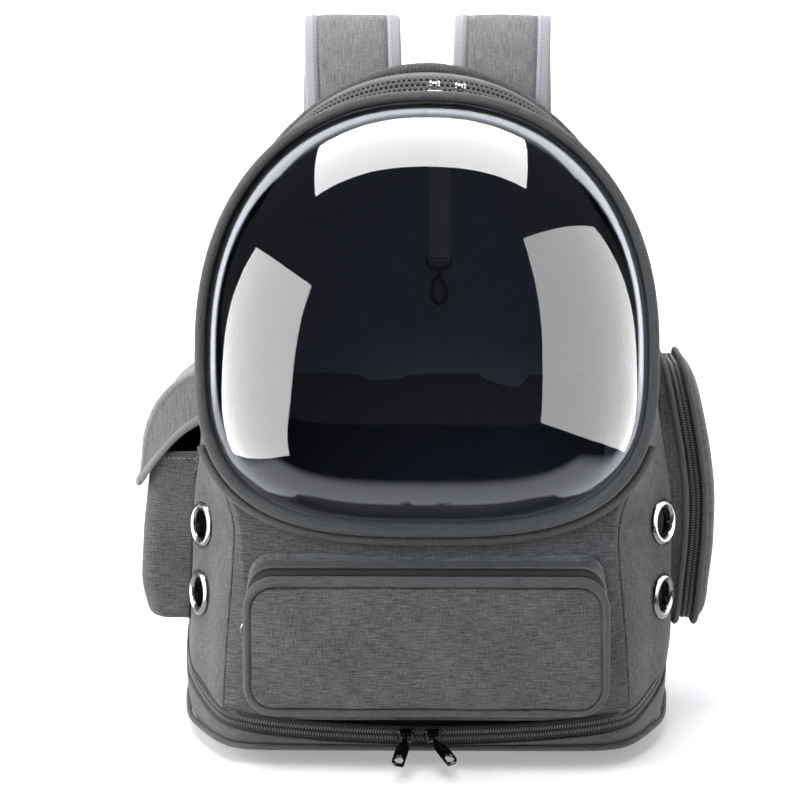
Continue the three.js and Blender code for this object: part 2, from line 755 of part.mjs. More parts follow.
// The bag's back outline, drawn in, at a depth, from its lower left corner up and over.
function backRing(inset, y, lift = 0) {
  const levels = levelsAt(STATIONS[STATIONS.length - 1], -inset, 1);
  const foot = zipHeight(0, BACK_Y) + ZIP_BAND / 2 + SEAT_GAP + Math.max(inset, 0) + lift;
  const side = levels.map(({ x, z }) => [x, y, z ?? foot]);
  const right = side.slice(0, -1);
  const left = right.map(([x, , z]) => [-x, y, z]).reverse();
  return [...right, side[side.length - 1], ...left];
}

const BACK_FACE_Y = BACK_Y + SEAT_GAP;
const BACK_REAR_Y = BACK_FACE_Y + BACK_PANEL;

const backPanel = () =>
  loft([
    backRing(1.5, BACK_FACE_Y),
    backRing(0.5, BACK_FACE_Y + 2),
    backRing(0.5, BACK_REAR_Y - 4),
    backRing(4, BACK_REAR_Y - 1),
    backRing(PANEL_CROWN, BACK_REAR_Y),
  ]);

// The padded roll over the top of the back panel.
const backRoll = () => {
  const outline = backRing(-BACK_ROLL - SEAT_GAP + 0.5, BACK_FACE_Y + BACK_ROLL);
  return tube(
    outline.filter(([, , z]) => z > SPRING_HEIGHT * 1.15),
    BACK_ROLL,
    false,
    20,
    6,
  );
};

const STRAP_ROOT_Z = lerp(STRAP_END_Z, STRAP_TOP_Z, STRAP_LINE[0].height);

const backPad = () => {
  const { thickness, halfWidth, low, belowStrap, radius } = BACK_PAD;
  const high = STRAP_ROOT_Z - belowStrap;
  const ring = (inset, y) =>
    roundedRing([-halfWidth, low], [halfWidth, high], radius, radius, inset).map(([x, z]) => [x, y, z]);
  const y = BACK_REAR_Y + SEAT_GAP;
  return loft([
    ring(0, y),
    ring(0, y + thickness * 0.5),
    ring(6, y + thickness * 0.9),
    ring(30, y + thickness),
  ]);
};

const cabinLiner = () => {
  const x = ZIP_LEVEL.back * HALF_WIDTH * 0.8;
  const low = zipHeight(0, BACK_Y) + ZIP_BAND;
  return box(-x, x, BACK_FACE_Y - SEAT_GAP - LINER, BACK_FACE_Y - SEAT_GAP, low, LINER_TOP);
};

// Front pocket

function pocketRing(inset, out) {
  const flare = 1 - THREE.MathUtils.clamp(out / POCKET_DEPTH, 0, 1);
  const half = POCKET_HALF_WIDTH + flare * POCKET_FLARE;
  const high = POCKET_HIGH + flare * POCKET_TOP_FLARE;
  return roundedRing([-half, POCKET_LOW], [half, high], POCKET_RADIUS, POCKET_RADIUS, inset).map(
    ([x, z]) => [x, frontY(z) - out, z],
  );
}

const POCKET_EDGE = 2 * POCKET_PIPING + SEAT_GAP + 0.1;
const frontPocket = () =>
  loft([
    pocketRing(POCKET_EDGE + 30, POCKET_DEPTH + POCKET_SWELL),
    pocketRing(POCKET_EDGE + 10, POCKET_DEPTH + POCKET_SWELL * 0.6),
    pocketRing(POCKET_EDGE + 1, POCKET_DEPTH),
    pocketRing(POCKET_EDGE, POCKET_DEPTH - 1.5),
    pocketRing(POCKET_EDGE, -6),
    pocketRing(POCKET_EDGE + POCKET_FABRIC, -6),
    pocketRing(POCKET_EDGE + POCKET_FABRIC, POCKET_DEPTH - POCKET_FABRIC),
    pocketRing(POCKET_EDGE + 30, POCKET_DEPTH + POCKET_SWELL - POCKET_FABRIC),
  ]).subtract(bodyForm(SEAT_GAP));

const frontPocketPiping = () =>
  ringPiping(pocketRing, POCKET_PIPING, POCKET_DEPTH - POCKET_PIPING - 0.4, POCKET_PIPING);

// The pocket's zip, on the gusset over its top and round both upper corners.
function frontPocketZip() {
  const middle = POCKET_DEPTH * 0.42;
  const keep = POCKET_HIGH - POCKET_RADIUS - 8;
  const rings = zipSection(POCKET_ZIP_WIDTH).map(([across, out]) =>
    pocketRing(POCKET_EDGE - SEAT_GAP - out, middle + across).filter(([, , z]) => z > keep),
  );
  const sections = rings[0].map((_, i) => rings.map((ring) => ring[i]));
  return loft(sections).subtract(bodyForm(SEAT_GAP));
}

// Side pockets

const SIDE_DEPTHS = [SIDE_FRONT_Y, SIDE_BACK_Y];
const BOTTLE_DEPTHS = [SIDE_FRONT_Y + POCKET_FABRIC + 0.7, SIDE_BACK_Y - POCKET_FABRIC - 0.7];
// Half-width of the bag's side along its widest line, which the side pockets are set out from.
const SIDE_LINE_DEPTH = 0.6;
const sideLine = (z, side) =>
  sidePoint(Math.max(z, LOWER_LEVELS[0].climb * FRAME_FOOT_Z), SIDE_LINE_DEPTH, side).x;

function bottleRing(climb, out, inset, top) {
  const z = lerp(SIDE_LOW, BOTTLE_TOP, climb) + top;
  const face = sideLine(z, -1) + out * SIDE_OUT;
  return roundedRing([-face, BOTTLE_DEPTHS[0]], [-face + SIDE_OUT + 22, BOTTLE_DEPTHS[1]], 12, 12, inset).map(
    ([x, y]) => [x, y, z],
  );
}

function bottlePocket() {
  const outside = BOTTLE_LINE.map(({ climb, out }) => bottleRing(climb, out, 0, 0));
  const inside = BOTTLE_LINE.map(({ climb, out }, i) =>
    bottleRing(climb, out, POCKET_FABRIC, i === 0 ? POCKET_FABRIC : 0),
  );
  return loft([...outside, ...inside.reverse()]).subtract(bodyForm(SEAT_GAP));
}

// The hooded flap's outline seen from the front, as [distance out of the bag's side line, height].
function flapOutline(inset, below) {
  const drop = FLAP_TOP - FLAP_TIP;
  const outer = FLAP_LINE.map(({ drop: share, out }) => {
    const z = FLAP_TOP - share * drop;
    return [-(sideLine(z, -1) + out * SIDE_OUT - inset), z - (share < 0.1 ? inset : 0)];
  });
  const inner = -(sideLine(FLAP_ROOT_LOW, -1) - 14);
  const [tip] = outer.slice(-1);
  return [
    [inner, FLAP_TOP - inset],
    ...outer,
    ...(below ? [[tip[0], tip[1] - below]] : []),
    [inner, FLAP_ROOT_LOW - below],
  ];
}

// The solid hood within that outline, its front and back edges rounded.
function flapPrism(inset, below) {
  const cheeks = [
    { in: 0, round: 5 },
    { in: 1.5, round: 1.5 },
    { in: 5, round: 0 },
  ];
  const ring = (y, round) => flapOutline(inset + round, below).map(([x, z]) => [x, y, z]);
  const front = cheeks.map((c) => ring(SIDE_FRONT_Y + inset + c.in, c.round));
  const back = cheeks.map((c) => ring(SIDE_BACK_Y - inset - c.in, c.round)).reverse();
  return loft([...front, ...back]);
}

// Everything above the slanting edge that the flap ends at, from the bag out to its tip.
function aboveFlapEdge() {
  const [tipX, tipZ] = flapOutline(0, 0).slice(-2)[0];
  const rootX = -(sideLine(FLAP_ROOT_LOW, -1) - 14);
  const far = tipX - 20;
  const farZ = tipZ + ((tipZ - FLAP_ROOT_LOW) * (far - tipX)) / (tipX - rootX);
  const high = FLAP_TOP + 30;
  const corners = [
    [rootX, FLAP_ROOT_LOW],
    [rootX, high],
    [far, high],
    [far, farZ],
  ];
  return loft([SIDE_FRONT_Y - 20, SIDE_BACK_Y + 20].map((y) => corners.map(([x, z]) => [x, y, z])));
}

const bottleFlap = () =>
  flapPrism(0, 8)
    .subtract(flapPrism(POCKET_FABRIC, ROOM))
    .intersect(aboveFlapEdge())
    .subtract(bodyForm(SEAT_GAP));

// The pale tape along the flap's edge: down its front cheek, along its outer side and up its back cheek.
function flapBinding() {
  const [tipX, tipZ] = flapOutline(0, 0).slice(-2)[0];
  const rootX = -sideLine(FLAP_ROOT_LOW, -1) - 1;
  const slope = (FLAP_ROOT_LOW - tipZ) / (tipX + sideLine(FLAP_ROOT_LOW, -1) - 14);
  const rootZ = FLAP_ROOT_LOW + slope * -15;
  const under = FLAP_BINDING + SEAT_GAP + 0.5;
  const front = SIDE_FRONT_Y + 1.6;
  const back = SIDE_BACK_Y - 1.6;
  const between = (t) => [lerp(rootX, tipX, t), lerp(rootZ, tipZ, t) - under];
  const points = [
    ...[0, 0.35, 0.7, 0.93].map((t) => [between(t)[0], front, between(t)[1]]),
    [tipX + 1.4, front + 6, tipZ - under],
    [tipX + 1.4, lerp(front, back, 0.5), tipZ - under - 1],
    [tipX + 1.4, back - 6, tipZ - under],
    ...[0.93, 0.7, 0.35, 0].map((t) => [between(t)[0], back, between(t)[1]]),
  ];
  return tube(points, FLAP_BINDING, false, 24, 6)
    .subtract(bodyForm(SEAT_GAP))
    .subtract(aboveFlapEdge().translate(0, 0, -SEAT_GAP));
}

// The zipped pocket is set out on the bag's side: along the depth, up, and out of the side line.
function cargoRing(inset, out) {
  return roundedRing(
    [SIDE_DEPTHS[0], SIDE_LOW],
    [SIDE_DEPTHS[1], CARGO_TOP],
    CARGO_RADIUS * 0.55,
    CARGO_RADIUS,
    inset,
    5,
  ).map(([y, z]) => {
    const sink = CARGO_SINK * (1 - smooth((z - SIDE_LOW) / CARGO_SINK_RUN));
    return [sideLine(z, 1) + out - sink, y, z];
  });
}

const cargoGusset = () =>
  loft(
    [
      cargoRing(2 * CARGO_PIPING + SEAT_GAP, -16),
      cargoRing(2 * CARGO_PIPING + SEAT_GAP, CARGO_GUSSET),
      cargoRing(2 * CARGO_PIPING + SEAT_GAP + POCKET_FABRIC, CARGO_GUSSET),
      cargoRing(2 * CARGO_PIPING + SEAT_GAP + POCKET_FABRIC, -16),
    ],
    true,
  ).subtract(bodyForm(SEAT_GAP));

const cargoZip = () =>
  loft(
    zipSection(CARGO_ZIP).map(([across, out]) =>
      cargoRing(
        2 * CARGO_PIPING + SEAT_GAP + POCKET_FABRIC - out,
        CARGO_GUSSET + SEAT_GAP + CARGO_ZIP / 2 + across,
      ),
    ),
    true,
  );

const cargoCover = () => {
  const foot = CARGO_GUSSET + CARGO_ZIP + 2 * SEAT_GAP;
  const edge = 2 * CARGO_PIPING + SEAT_GAP;
  const inner = edge + POCKET_FABRIC;
  return loft([
    cargoRing(edge + 24, CARGO_OUT + 1.5),
    cargoRing(edge + 4, CARGO_OUT - 1),
    cargoRing(edge, CARGO_OUT - 5),
    cargoRing(edge, foot),
    cargoRing(inner, foot),
    cargoRing(inner, CARGO_OUT - 6),
    cargoRing(inner + 3, CARGO_OUT - 1 - POCKET_FABRIC),
    cargoRing(inner + 24, CARGO_OUT + 1.5 - POCKET_FABRIC),
  ]);
};

const cargoPiping = (out) => ringPiping(cargoRing, CARGO_PIPING, out, CARGO_PIPING);

// Straps

const STRAP_ROOT_Y = BACK_REAR_Y + SEAT_GAP + STRAP_THICKNESS / 2;
const strapCurve = new THREE.CatmullRomCurve3(
  STRAP_LINE.map(
    ({ back, height }) =>
      new THREE.Vector3(0, STRAP_ROOT_Y + back * STRAP_REACH, lerp(STRAP_END_Z, STRAP_TOP_Z, height)),
  ),
  false,
  "centripetal",
);

// A flat band along a curve in the depth plane, between two distances across it.
function ribbon(curve, thickness, steps, acrossAt) {
  const sections = Array.from({ length: steps + 1 }, (_, i) => {
    const t = i / steps;
    const p = curve.getPointAt(t);
    const along = curve.getTangentAt(t);
    const normal = new THREE.Vector3(0, -along.z, along.y).normalize();
    const [x0, x1] = acrossAt(t, p);
    return [
      [x0, -1],
      [x1, -1],
      [x1, 1],
      [x0, 1],
    ].map(([x, side]) => [
      x,
      p.y + (normal.y * side * thickness) / 2,
      p.z + (normal.z * side * thickness) / 2,
    ]);
  });
  return loft(sections);
}

// Between two shares of the strap's width, counted from its inner edge.
function strapBand(sign, from, to, thickness) {
  return ribbon(strapCurve, thickness, 18, (t) => {
    const width = lerp(STRAP_WIDTH, STRAP_END_WIDTH, smooth((t - 0.45) / 0.55));
    const middle = STRAP_X + STRAP_SPREAD * t;
    const edges = [from, to].map((share) => sign * (middle + (share - 0.5) * width));
    return edges.sort((a, b) => a - b);
  });
}

const strapPad = (sign) => {
  const gap = SEAT_GAP / STRAP_END_WIDTH;
  return strapBand(sign, STRAP_BINDING_SHARE + gap, 1 - STRAP_BINDING_SHARE - gap, STRAP_THICKNESS);
};
const strapEdge = (sign, outer) =>
  outer
    ? strapBand(sign, 1 - STRAP_BINDING_SHARE, 1, STRAP_THICKNESS + 0.6)
    : strapBand(sign, 0, STRAP_BINDING_SHARE, STRAP_THICKNESS + 0.6);

const webbingCurve = (() => {
  const end = strapCurve.getPointAt(1);
  const foot = new THREE.Vector3(0, BASE_BACK_Y + SEAT_GAP + WEBBING / 2, WEBBING_FOOT_Z);
  const sewn = WEBBING_WIDTH;
  return new THREE.CatmullRomCurve3(
    [
      new THREE.Vector3(0, end.y, end.z - SEAT_GAP),
      new THREE.Vector3(0, lerp(end.y, foot.y, 0.3), lerp(end.z, foot.z, 0.33)),
      new THREE.Vector3(0, lerp(end.y, foot.y, 0.75), lerp(end.z, foot.z, 0.62)),
      new THREE.Vector3(0, foot.y + 1, foot.z + sewn * 0.7),
      foot,
    ],
    false,
    "centripetal",
  );
})();

const webbingX = (z) => {
  const share = (STRAP_END_Z - z) / (STRAP_END_Z - WEBBING_FOOT_Z);
  return lerp(STRAP_X + STRAP_SPREAD, WEBBING_FOOT_X, THREE.MathUtils.clamp(share, 0, 1));
};

const lowerWebbing = (sign, spare = 0) =>
  ribbon(webbingCurve, WEBBING + 2 * spare, 12, (t, p) =>
    [-1, 1].map((edge) => sign * webbingX(p.z) + edge * (WEBBING_WIDTH / 2 + spare)),
  );

// A plain adjuster plate with the webbing through its slot.
function adjuster(sign) {
  const t = 0.3;
  const p = webbingCurve.getPointAt(t);
  const along = webbingCurve.getTangentAt(t);
  const plate = new THREE.Shape(
    roundedRing([-19, -13], [19, 13], 4, 4, 0, 3).map(([a, b]) => new THREE.Vector2(a, b)),
  );
  const tilt = Math.atan2(along.y, -along.z);
  const body = new THREE.ExtrudeGeometry(plate, { depth: 6, bevelEnabled: false })
    .translate(0, 0, -3)
    .rotateX(Math.PI / 2 - tilt * -1)
    .translate(sign * webbingX(p.z), p.y, p.z);
  return solidOf(body).subtract(lowerWebbing(sign, SEAT_GAP + 0.1));
}

// Zip sliders: a plate with two lugs and a bar between them, and a tab whose eye turns on the bar.
// The slider's own frame has the bar along X and its face along +Z.

const BAR_HEIGHT = SLIDER.thickness + EYE + SEAT_GAP + 0.1;

function sliderSolid() {
  const half = { x: SLIDER.length / 2, y: SLIDER.width / 2 };
  const plate = new THREE.Shape(
    roundedRing([-half.x, -half.y], [half.x, half.y], 2.4, 2.4, 0, 3).map(
      ([a, b]) => new THREE.Vector2(a, b),
    ),
  );
  let slider = solidOf(new THREE.ExtrudeGeometry(plate, { depth: SLIDER.thickness, bevelEnabled: false }));
  const lugX = EYE_LENGTH / 2 + SEAT_GAP;
  for (const sign of [-1, 1]) {
    const x0 = Math.min(sign * lugX, sign * (lugX + LUG));
    const lug = box(x0, x0 + LUG, -BAR - 0.6, BAR + 0.6, SLIDER.thickness - 0.5, BAR_HEIGHT + BAR + 0.5);
    slider = slider.add(lug);
  }
  const bar = new THREE.CylinderGeometry(BAR, BAR, 2 * (lugX + LUG / 2), 10).rotateZ(Math.PI / 2);
  return slider.add(solidOf(bar.translate(0, 0, BAR_HEIGHT)));
}

// The tab hangs along -Z from its eye at the origin, leaning sideways in its own plane by splay degrees.
function tabSolid({ length, width, thickness }, splay) {
  const half = width / 2;
  const outline = new THREE.Shape(
    [
      [-half * 0.62, -EYE * 0.6],
      [-half, -length * 0.35],
      [-half, -length * 0.86],
      [half, -length],
      [half, -length * 0.35],
      [half * 0.62, -EYE * 0.6],
    ].map(([a, b]) => new THREE.Vector2(a, b)),
  );
  const window = new THREE.Path();
  window.moveTo(-half * 0.55, -length * 0.83);
  window.lineTo(half * 0.55, -length * 0.91);
  window.lineTo(half * 0.55, -length * 0.72);
  window.lineTo(0, -length * 0.64);
  window.lineTo(-half * 0.55, -length * 0.7);
  outline.holes.push(window);
  const plate = new THREE.ExtrudeGeometry(outline, { depth: thickness, bevelEnabled: false })
    .translate(0, 0, -thickness / 2)
    .rotateX(Math.PI / 2)
    .rotateY(radians(splay));
  const ring = (radius, length) =>
    solidOf(new THREE.CylinderGeometry(radius, radius, length, 10).rotateZ(Math.PI / 2));
  return solidOf(plate)
    .add(ring(EYE, EYE_LENGTH))
    .subtract(ring(EYE_HOLE, EYE_LENGTH + 8))
    .subtract(box(EYE_LENGTH / 2, 40, -9, 9, -EYE - 0.6, EYE + 9))
    .subtract(box(-40, -EYE_LENGTH / 2, -9, 9, -EYE - 0.6, EYE + 9));
}

// Meshes

const group = new THREE.Group();

function add(name, solid, material, matrix) {
  const mesh = new THREE.Mesh(geometryOf(solid), material);
  mesh.name = name;
  if (matrix) mesh.applyMatrix4(matrix);
  group.add(mesh);
}

// A matrix that puts a slider's bar along one direction and its face along another, at a place.
function basis(barAlong, face, at) {
  const x = new THREE.Vector3(...barAlong).normalize();
  const z = new THREE.Vector3(...face).normalize();
  const y = new THREE.Vector3().crossVectors(z, x);
  return new THREE.Matrix4().makeBasis(x, y, z).setPosition(...at);
}

// A slider on a zip, and its tab turned about the bar by an angle from hanging straight down in world terms.
function addSlider(name, barAlong, face, at, tab, turn, splay) {
  add(`${name}_slider`, sliderSolid(), GUNMETAL, basis(barAlong, face, at));
  const pivot = new THREE.Vector3(...face).multiplyScalar(BAR_HEIGHT).add(new THREE.Vector3(...at));
  const down = new THREE.Matrix4().makeRotationFromQuaternion(
    new THREE.Quaternion()
      .setFromAxisAngle(new THREE.Vector3(...barAlong), radians(turn))
      .multiply(
        new THREE.Quaternion().setFromUnitVectors(new THREE.Vector3(1, 0, 0), new THREE.Vector3(...barAlong)),
      ),
  );
  add(`${name}_tab`, tabSolid(tab, splay), GUNMETAL, down.setPosition(pivot));
}

for (const [name, panel] of Object.entries(bodyPanels())) add(name, panel, FABRIC_GREY);
add("base_tray", baseTray(), FABRIC_GREY);
add("base_zip", baseZip(), DARK_TAPE);
add("base_piping", basePiping(), PIPING_GREY);

add("bubble_window", bubbleWindow(), CLEAR);
add("window_binding", frameBinding(), PIPING_GREY);
add("window_piping", framePiping(), PIPING_GREY);
add("top_zip", topZip(), DARK_TAPE);
add("top_mesh", topMesh(), MESH_GREY);

for (const [name, row] of Object.entries(EYELETS)) add(name, eyelet(eyeletPlace(row)), STEEL);

add("back_panel", backPanel(), FABRIC_GREY);
add("back_roll", backRoll(), FABRIC_GREY);
add("back_pad", backPad(), MESH_GREY);
add("cabin_liner", cabinLiner(), LINING);

add("front_pocket", frontPocket(), FABRIC_GREY);
add("front_pocket_piping", frontPocketPiping(), PIPING_GREY);
add("front_pocket_zip", frontPocketZip(), DARK_TAPE);

add("bottle_pocket", bottlePocket(), FABRIC_GREY);
add("bottle_flap", bottleFlap(), STRAP_GREY);
add("flap_binding", flapBinding(), PALE_TAPE);

add("cargo_gusset", cargoGusset(), FABRIC_GREY);
add("cargo_zip", cargoZip(), DARK_TAPE);
add("cargo_cover", cargoCover(), FABRIC_GREY);
add(
  "cargo_piping_inner",
  cargoPiping(CARGO_GUSSET - CARGO_PIPING).subtract(bodyForm(SEAT_GAP)),
  PIPING_GREY,
);
add("cargo_piping_outer", cargoPiping(CARGO_GUSSET + CARGO_ZIP + CARGO_PIPING), PIPING_GREY);

for (const [side, sign] of [["left", -1], ["right", 1]]) {
  add(`strap_${side}`, strapPad(sign), STRAP_GREY);
  add(`strap_${side}_inner_binding`, strapEdge(sign, false), PALE_TAPE);
  add(`strap_${side}_outer_binding`, strapEdge(sign, true), PALE_TAPE);
  add(`webbing_${side}`, lowerWebbing(sign), WEB_GREY);
  add(`adjuster_${side}`, adjuster(sign), BLACK_PLASTIC);
}

// Tether: webbing sewn to the top of the back panel's inner face, and a snap hook hanging from its end.
const TETHER_Y = BACK_FACE_Y - SEAT_GAP - WEBBING;
const tetherTop = SPRING_HEIGHT + (BACK_TOP - SPRING_HEIGHT) * 0.88;
add(
  "tether_webbing",
  box(
    TETHER_X - TETHER_WIDTH / 2,
    TETHER_X + TETHER_WIDTH / 2,
    TETHER_Y,
    TETHER_Y + WEBBING,
    TETHER_LOW,
    tetherTop,
  ),
  WEB_GREY,
);
const hookShape = new THREE.Shape(
  roundedRing([-5, -HOOK_LENGTH], [5, 0], 4.5, 4, 0, 3).map(([a, b]) => new THREE.Vector2(a, b)),
);
hookShape.holes.push(
  new THREE.Path(
    roundedRing([-3, -HOOK_LENGTH + 2.2], [3, -HOOK_LENGTH * 0.42], 2.8, 2.8, 0, 3).map(
      ([a, b]) => new THREE.Vector2(a, b),
    ),
  ),
);
add(
  "tether_hook",
  solidOf(
    new THREE.ExtrudeGeometry(hookShape, { depth: 3, bevelEnabled: false })
      .rotateX(Math.PI / 2)
      .translate(TETHER_X, TETHER_Y + WEBBING, TETHER_LOW - SEAT_GAP),
  ),
  GUNMETAL,
);

// Base sliders at the middle of the front, their tabs splayed and resting just over the floor.
const baseSliderY = BASE_FRONT_Y + FABRIC - TAPE - COIL_RIDGE - SEAT_GAP;
for (const [side, x] of Object.entries(BASE_SLIDER_X)) {
  const splay = (side === "left" ? 1 : -1) * BASE_TAB_SPLAY[side];
  const z = zipHeight(x, baseSliderY);
  const drop = Math.asin((z - BASE_TAB_CLEAR - BASE_TAB.thickness / 2) / BASE_TAB.length);
  const turn = -(90 - THREE.MathUtils.radToDeg(drop));
  addSlider(`base_${side}`, [1, 0, 0], [0, -1, 0], [x, baseSliderY, z], BASE_TAB, turn, splay);
}

// Top sliders behind the window, square to the arch, their tabs lying back on the mesh.
const topHeight = (x) => {
  const [front, bend] = [STATIONS[0], STATIONS[2]].map((station) => {
    const arch = levelsAt(station, 0, 1).slice(-ARCH_STEPS);
    const next = arch.findIndex((level) => level.x <= Math.abs(x));
    const [low, high] = [arch[next - 1], arch[next]];
    return lerp(low.z, high.z, (low.x - Math.abs(x)) / (low.x - high.x));
  });
  return lerp(front, bend, TOP_ZIP_BACK / (BACK_Y - FRONT_TOP_Y) / STATIONS[2].depth);
};
for (const [side, x] of Object.entries(TOP_SLIDER_X)) {
  const lean = Math.atan2(topHeight(x - SLIDER.length) - topHeight(x + SLIDER.length), 2 * SLIDER.length);
  const face = [Math.sin(lean), 0, Math.cos(lean)];
  const off = TOP_ZIP + 2 * SEAT_GAP + 0.3;
  const at = [x + off * face[0], windowPlaneY(FRONT_TOP) + TOP_ZIP_BACK, topHeight(x) + off * face[2]];
  addSlider(`top_${side}`, [face[2], 0, -face[0]], face, at, TOP_TAB, TOP_TAB_REST, 0);
}

export default group;
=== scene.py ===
import json
import math

import bmesh
import bpy
from mathutils import Matrix, Vector, noise


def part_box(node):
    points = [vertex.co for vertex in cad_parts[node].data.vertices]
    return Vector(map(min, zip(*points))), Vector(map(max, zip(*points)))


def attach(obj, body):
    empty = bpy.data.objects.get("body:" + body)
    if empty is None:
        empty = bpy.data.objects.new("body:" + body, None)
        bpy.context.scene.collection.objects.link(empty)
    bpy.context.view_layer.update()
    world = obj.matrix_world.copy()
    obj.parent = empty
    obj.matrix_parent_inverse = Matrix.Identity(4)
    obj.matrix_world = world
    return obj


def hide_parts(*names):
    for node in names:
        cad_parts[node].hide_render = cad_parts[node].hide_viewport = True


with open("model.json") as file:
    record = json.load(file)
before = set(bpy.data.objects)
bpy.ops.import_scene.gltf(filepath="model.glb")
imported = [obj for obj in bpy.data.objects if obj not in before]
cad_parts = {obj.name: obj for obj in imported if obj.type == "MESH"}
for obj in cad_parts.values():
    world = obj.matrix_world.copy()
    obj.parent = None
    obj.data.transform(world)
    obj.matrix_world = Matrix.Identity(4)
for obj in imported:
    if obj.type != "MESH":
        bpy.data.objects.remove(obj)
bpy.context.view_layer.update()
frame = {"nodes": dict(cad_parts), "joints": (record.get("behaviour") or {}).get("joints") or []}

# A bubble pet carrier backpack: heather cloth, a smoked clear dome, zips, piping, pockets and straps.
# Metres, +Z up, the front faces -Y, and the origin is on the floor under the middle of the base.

MM = 0.001

# Gaps and cloth
SEAT_GAP = 0.35 * MM
CLOTH = 3 * MM
SEAM_ROUND = 0.9 * MM
POCKET_CLOTH = 2.5 * MM
TAPE = 1.3 * MM
STITCH_PITCH = 3.4 * MM
STITCH_LENGTH = 2.3 * MM

# Bag body
HALF_WIDTH = 162.5 * MM
SPRING_HEIGHT = 262 * MM
FRONT_TOP = 421 * MM
BACK_TOP = 429 * MM
FRONT_FOOT_Y = -122 * MM
FRAME_FOOT_Y = -107 * MM
FRONT_TOP_Y = -48 * MM
BACK_Y = 108 * MM
FRAME_FOOT_Z = 142 * MM
ARCH_POWER = (2.23, 1.9)  # at the front and at the back
FRONT_BOW = 3 * MM
FRONT_ROWS = 22  # from the window to the bag's corner
FRONT_WRAPS = 4  # from the corner to the side seam
SIDE_SEAM_Z = 251 * MM
BODY_FOOT = 8 * MM
SEAM_SHARE = 0.004  # of the depth, between two panels at a seam
CORNER_SEAM = (0.034, 0.02)  # depth shares of the front panel's side seam, at its foot and at the frame

# Base
BASE_FRONT_Y = -122 * MM
BASE_BACK_Y = 119 * MM
BASE_EDGE = 0.8 * MM
BASE_TAPER = 6 * MM
ZIP_BAND = 12 * MM
ZIP_FRONT = 11 * MM
ZIP_CORNER_RISE = 8 * MM
ZIP_SIDE_RISE = 26 * MM
ZIP_RISE_RUN = 95 * MM
ZIP_RISE_POWER = 1.4
BASE_PIPING = 1.9 * MM
BASE_COLUMNS = 360
BASE_SOFTENING = 36  # passes that round its corners
TOOTH_PITCH = 1.75 * MM
TOOTH = (0.5 * MM, 0.6 * MM)  # half its width and half its height
TOOTH_LEAN = 0.28

# Window
WINDOW_HALF_WIDTH = 151.5 * MM
WINDOW_TOP = 427 * MM
WINDOW_LOW_POWER = 3
BINDING_WIDTH = 6.5 * MM
BINDING_DEPTH = 6 * MM
FLANGE = 2 * MM
FLANGE_WIDTH = 7.2 * MM
BUBBLE_RISE = 88 * MM
BUBBLE_POWER = (2.7, 1.75)
DOME_ROWS = 26
FRAME_PIPING = 2.9 * MM

# Air eyelets
EYELET_HOLE = 10 * MM
EYELET_RADIUS = 15.5 * MM
EYELETS = {
    "eyelet_left_upper": (-1, 0.222, 138 * MM),
    "eyelet_left_lower": (-1, 0.222, 92 * MM),
    "eyelet_right_upper": (1, 0.23, 140 * MM),
    "eyelet_right_lower": (1, 0.23, 90 * MM),
}

# Front pocket
POCKET_HALF_WIDTH = 118 * MM
POCKET_LOW = 29.5 * MM
POCKET_HIGH = 117 * MM
POCKET_DEPTH = 24 * MM
POCKET_RADIUS = 20 * MM
POCKET_SWELL = 5 * MM
POCKET_FLARE = 4 * MM
POCKET_TOP_FLARE = 9 * MM
POCKET_PIPING = 2.6 * MM
POCKET_EDGE = 2 * POCKET_PIPING + SEAT_GAP
POCKET_ZIP_WIDTH = 9 * MM
POCKET_TOP_LIFT = 9 * MM
POCKET_PULL_Z = 83 * MM
POCKET_PULL = [  # the slider's ring, in mm from its middle
    (0, 5), (-1.6, 3.6), (-2.0, 0), (-1.6, -4.2), (0, -5.4), (1.2, -4.2), (1.4, 0), (1.2, 3.6),
]

# Side pockets
SIDE_FRONT_Y = -44 * MM
SIDE_BACK_Y = 84 * MM
SIDE_LOW = 60 * MM
SIDE_OUT = 38 * MM
BOTTLE_TOP = 184 * MM
FLAP_TOP = 246 * MM
FLAP_TIP = 163 * MM
FLAP_ROOT_LOW = 208 * MM
FLAP_BINDING = 2.2 * MM
FLAP_SLOPE = 15 * MM  # its top is lower at the back
CARGO_TOP = 244 * MM
CARGO_RADII = (25.3 * MM, 46 * MM)
CARGO_OUT = 33 * MM
CARGO_SINK = 9 * MM
CARGO_SINK_RUN = 110 * MM
CARGO_GUSSET = 11 * MM
CARGO_ZIP = 9 * MM
CARGO_PIPING = 2 * MM

# Back
BACK_PANEL = 13 * MM
BACK_ROLL = 4.8 * MM
BACK_PAD_RADIUS = 50 * MM
BACK_PAD_EDGE = [(0, 0), (0, 3), (0.6, 5), (2.4, 7), (6, 8.4)]  # inset and height of its rounded edge, in mm
BACK_PAD_CROWN = 8.6 * MM
BACK_PAD_GROOVE = (3.4 * MM, 6 * MM)  # depth and width of the channel down its middle

# Straps
STRAP_WIDTH = 70 * MM
STRAP_END_WIDTH = 52 * MM
STRAP_THICKNESS = 7 * MM
STRAP_X = 52 * MM
STRAP_SPREAD = 14 * MM
STRAP_TOP_Z = 469 * MM
STRAP_END_Z = 168 * MM
STRAP_REACH = 68 * MM
STRAP_BINDING_SHARE = 0.135
WEBBING_WIDTH = 25 * MM
WEBBING = 1.6 * MM
WEBBING_SECTION = [  # shares of its width and of its thickness
    (-0.5, -0.3), (-0.48, -0.5), (0.48, -0.5), (0.5, -0.3),
    (0.5, 0.3), (0.48, 0.5), (-0.48, 0.5), (-0.5, 0.3),
]
WEBBING_FOOT_X = 118 * MM
WEBBING_FOOT_Z = 26 * MM

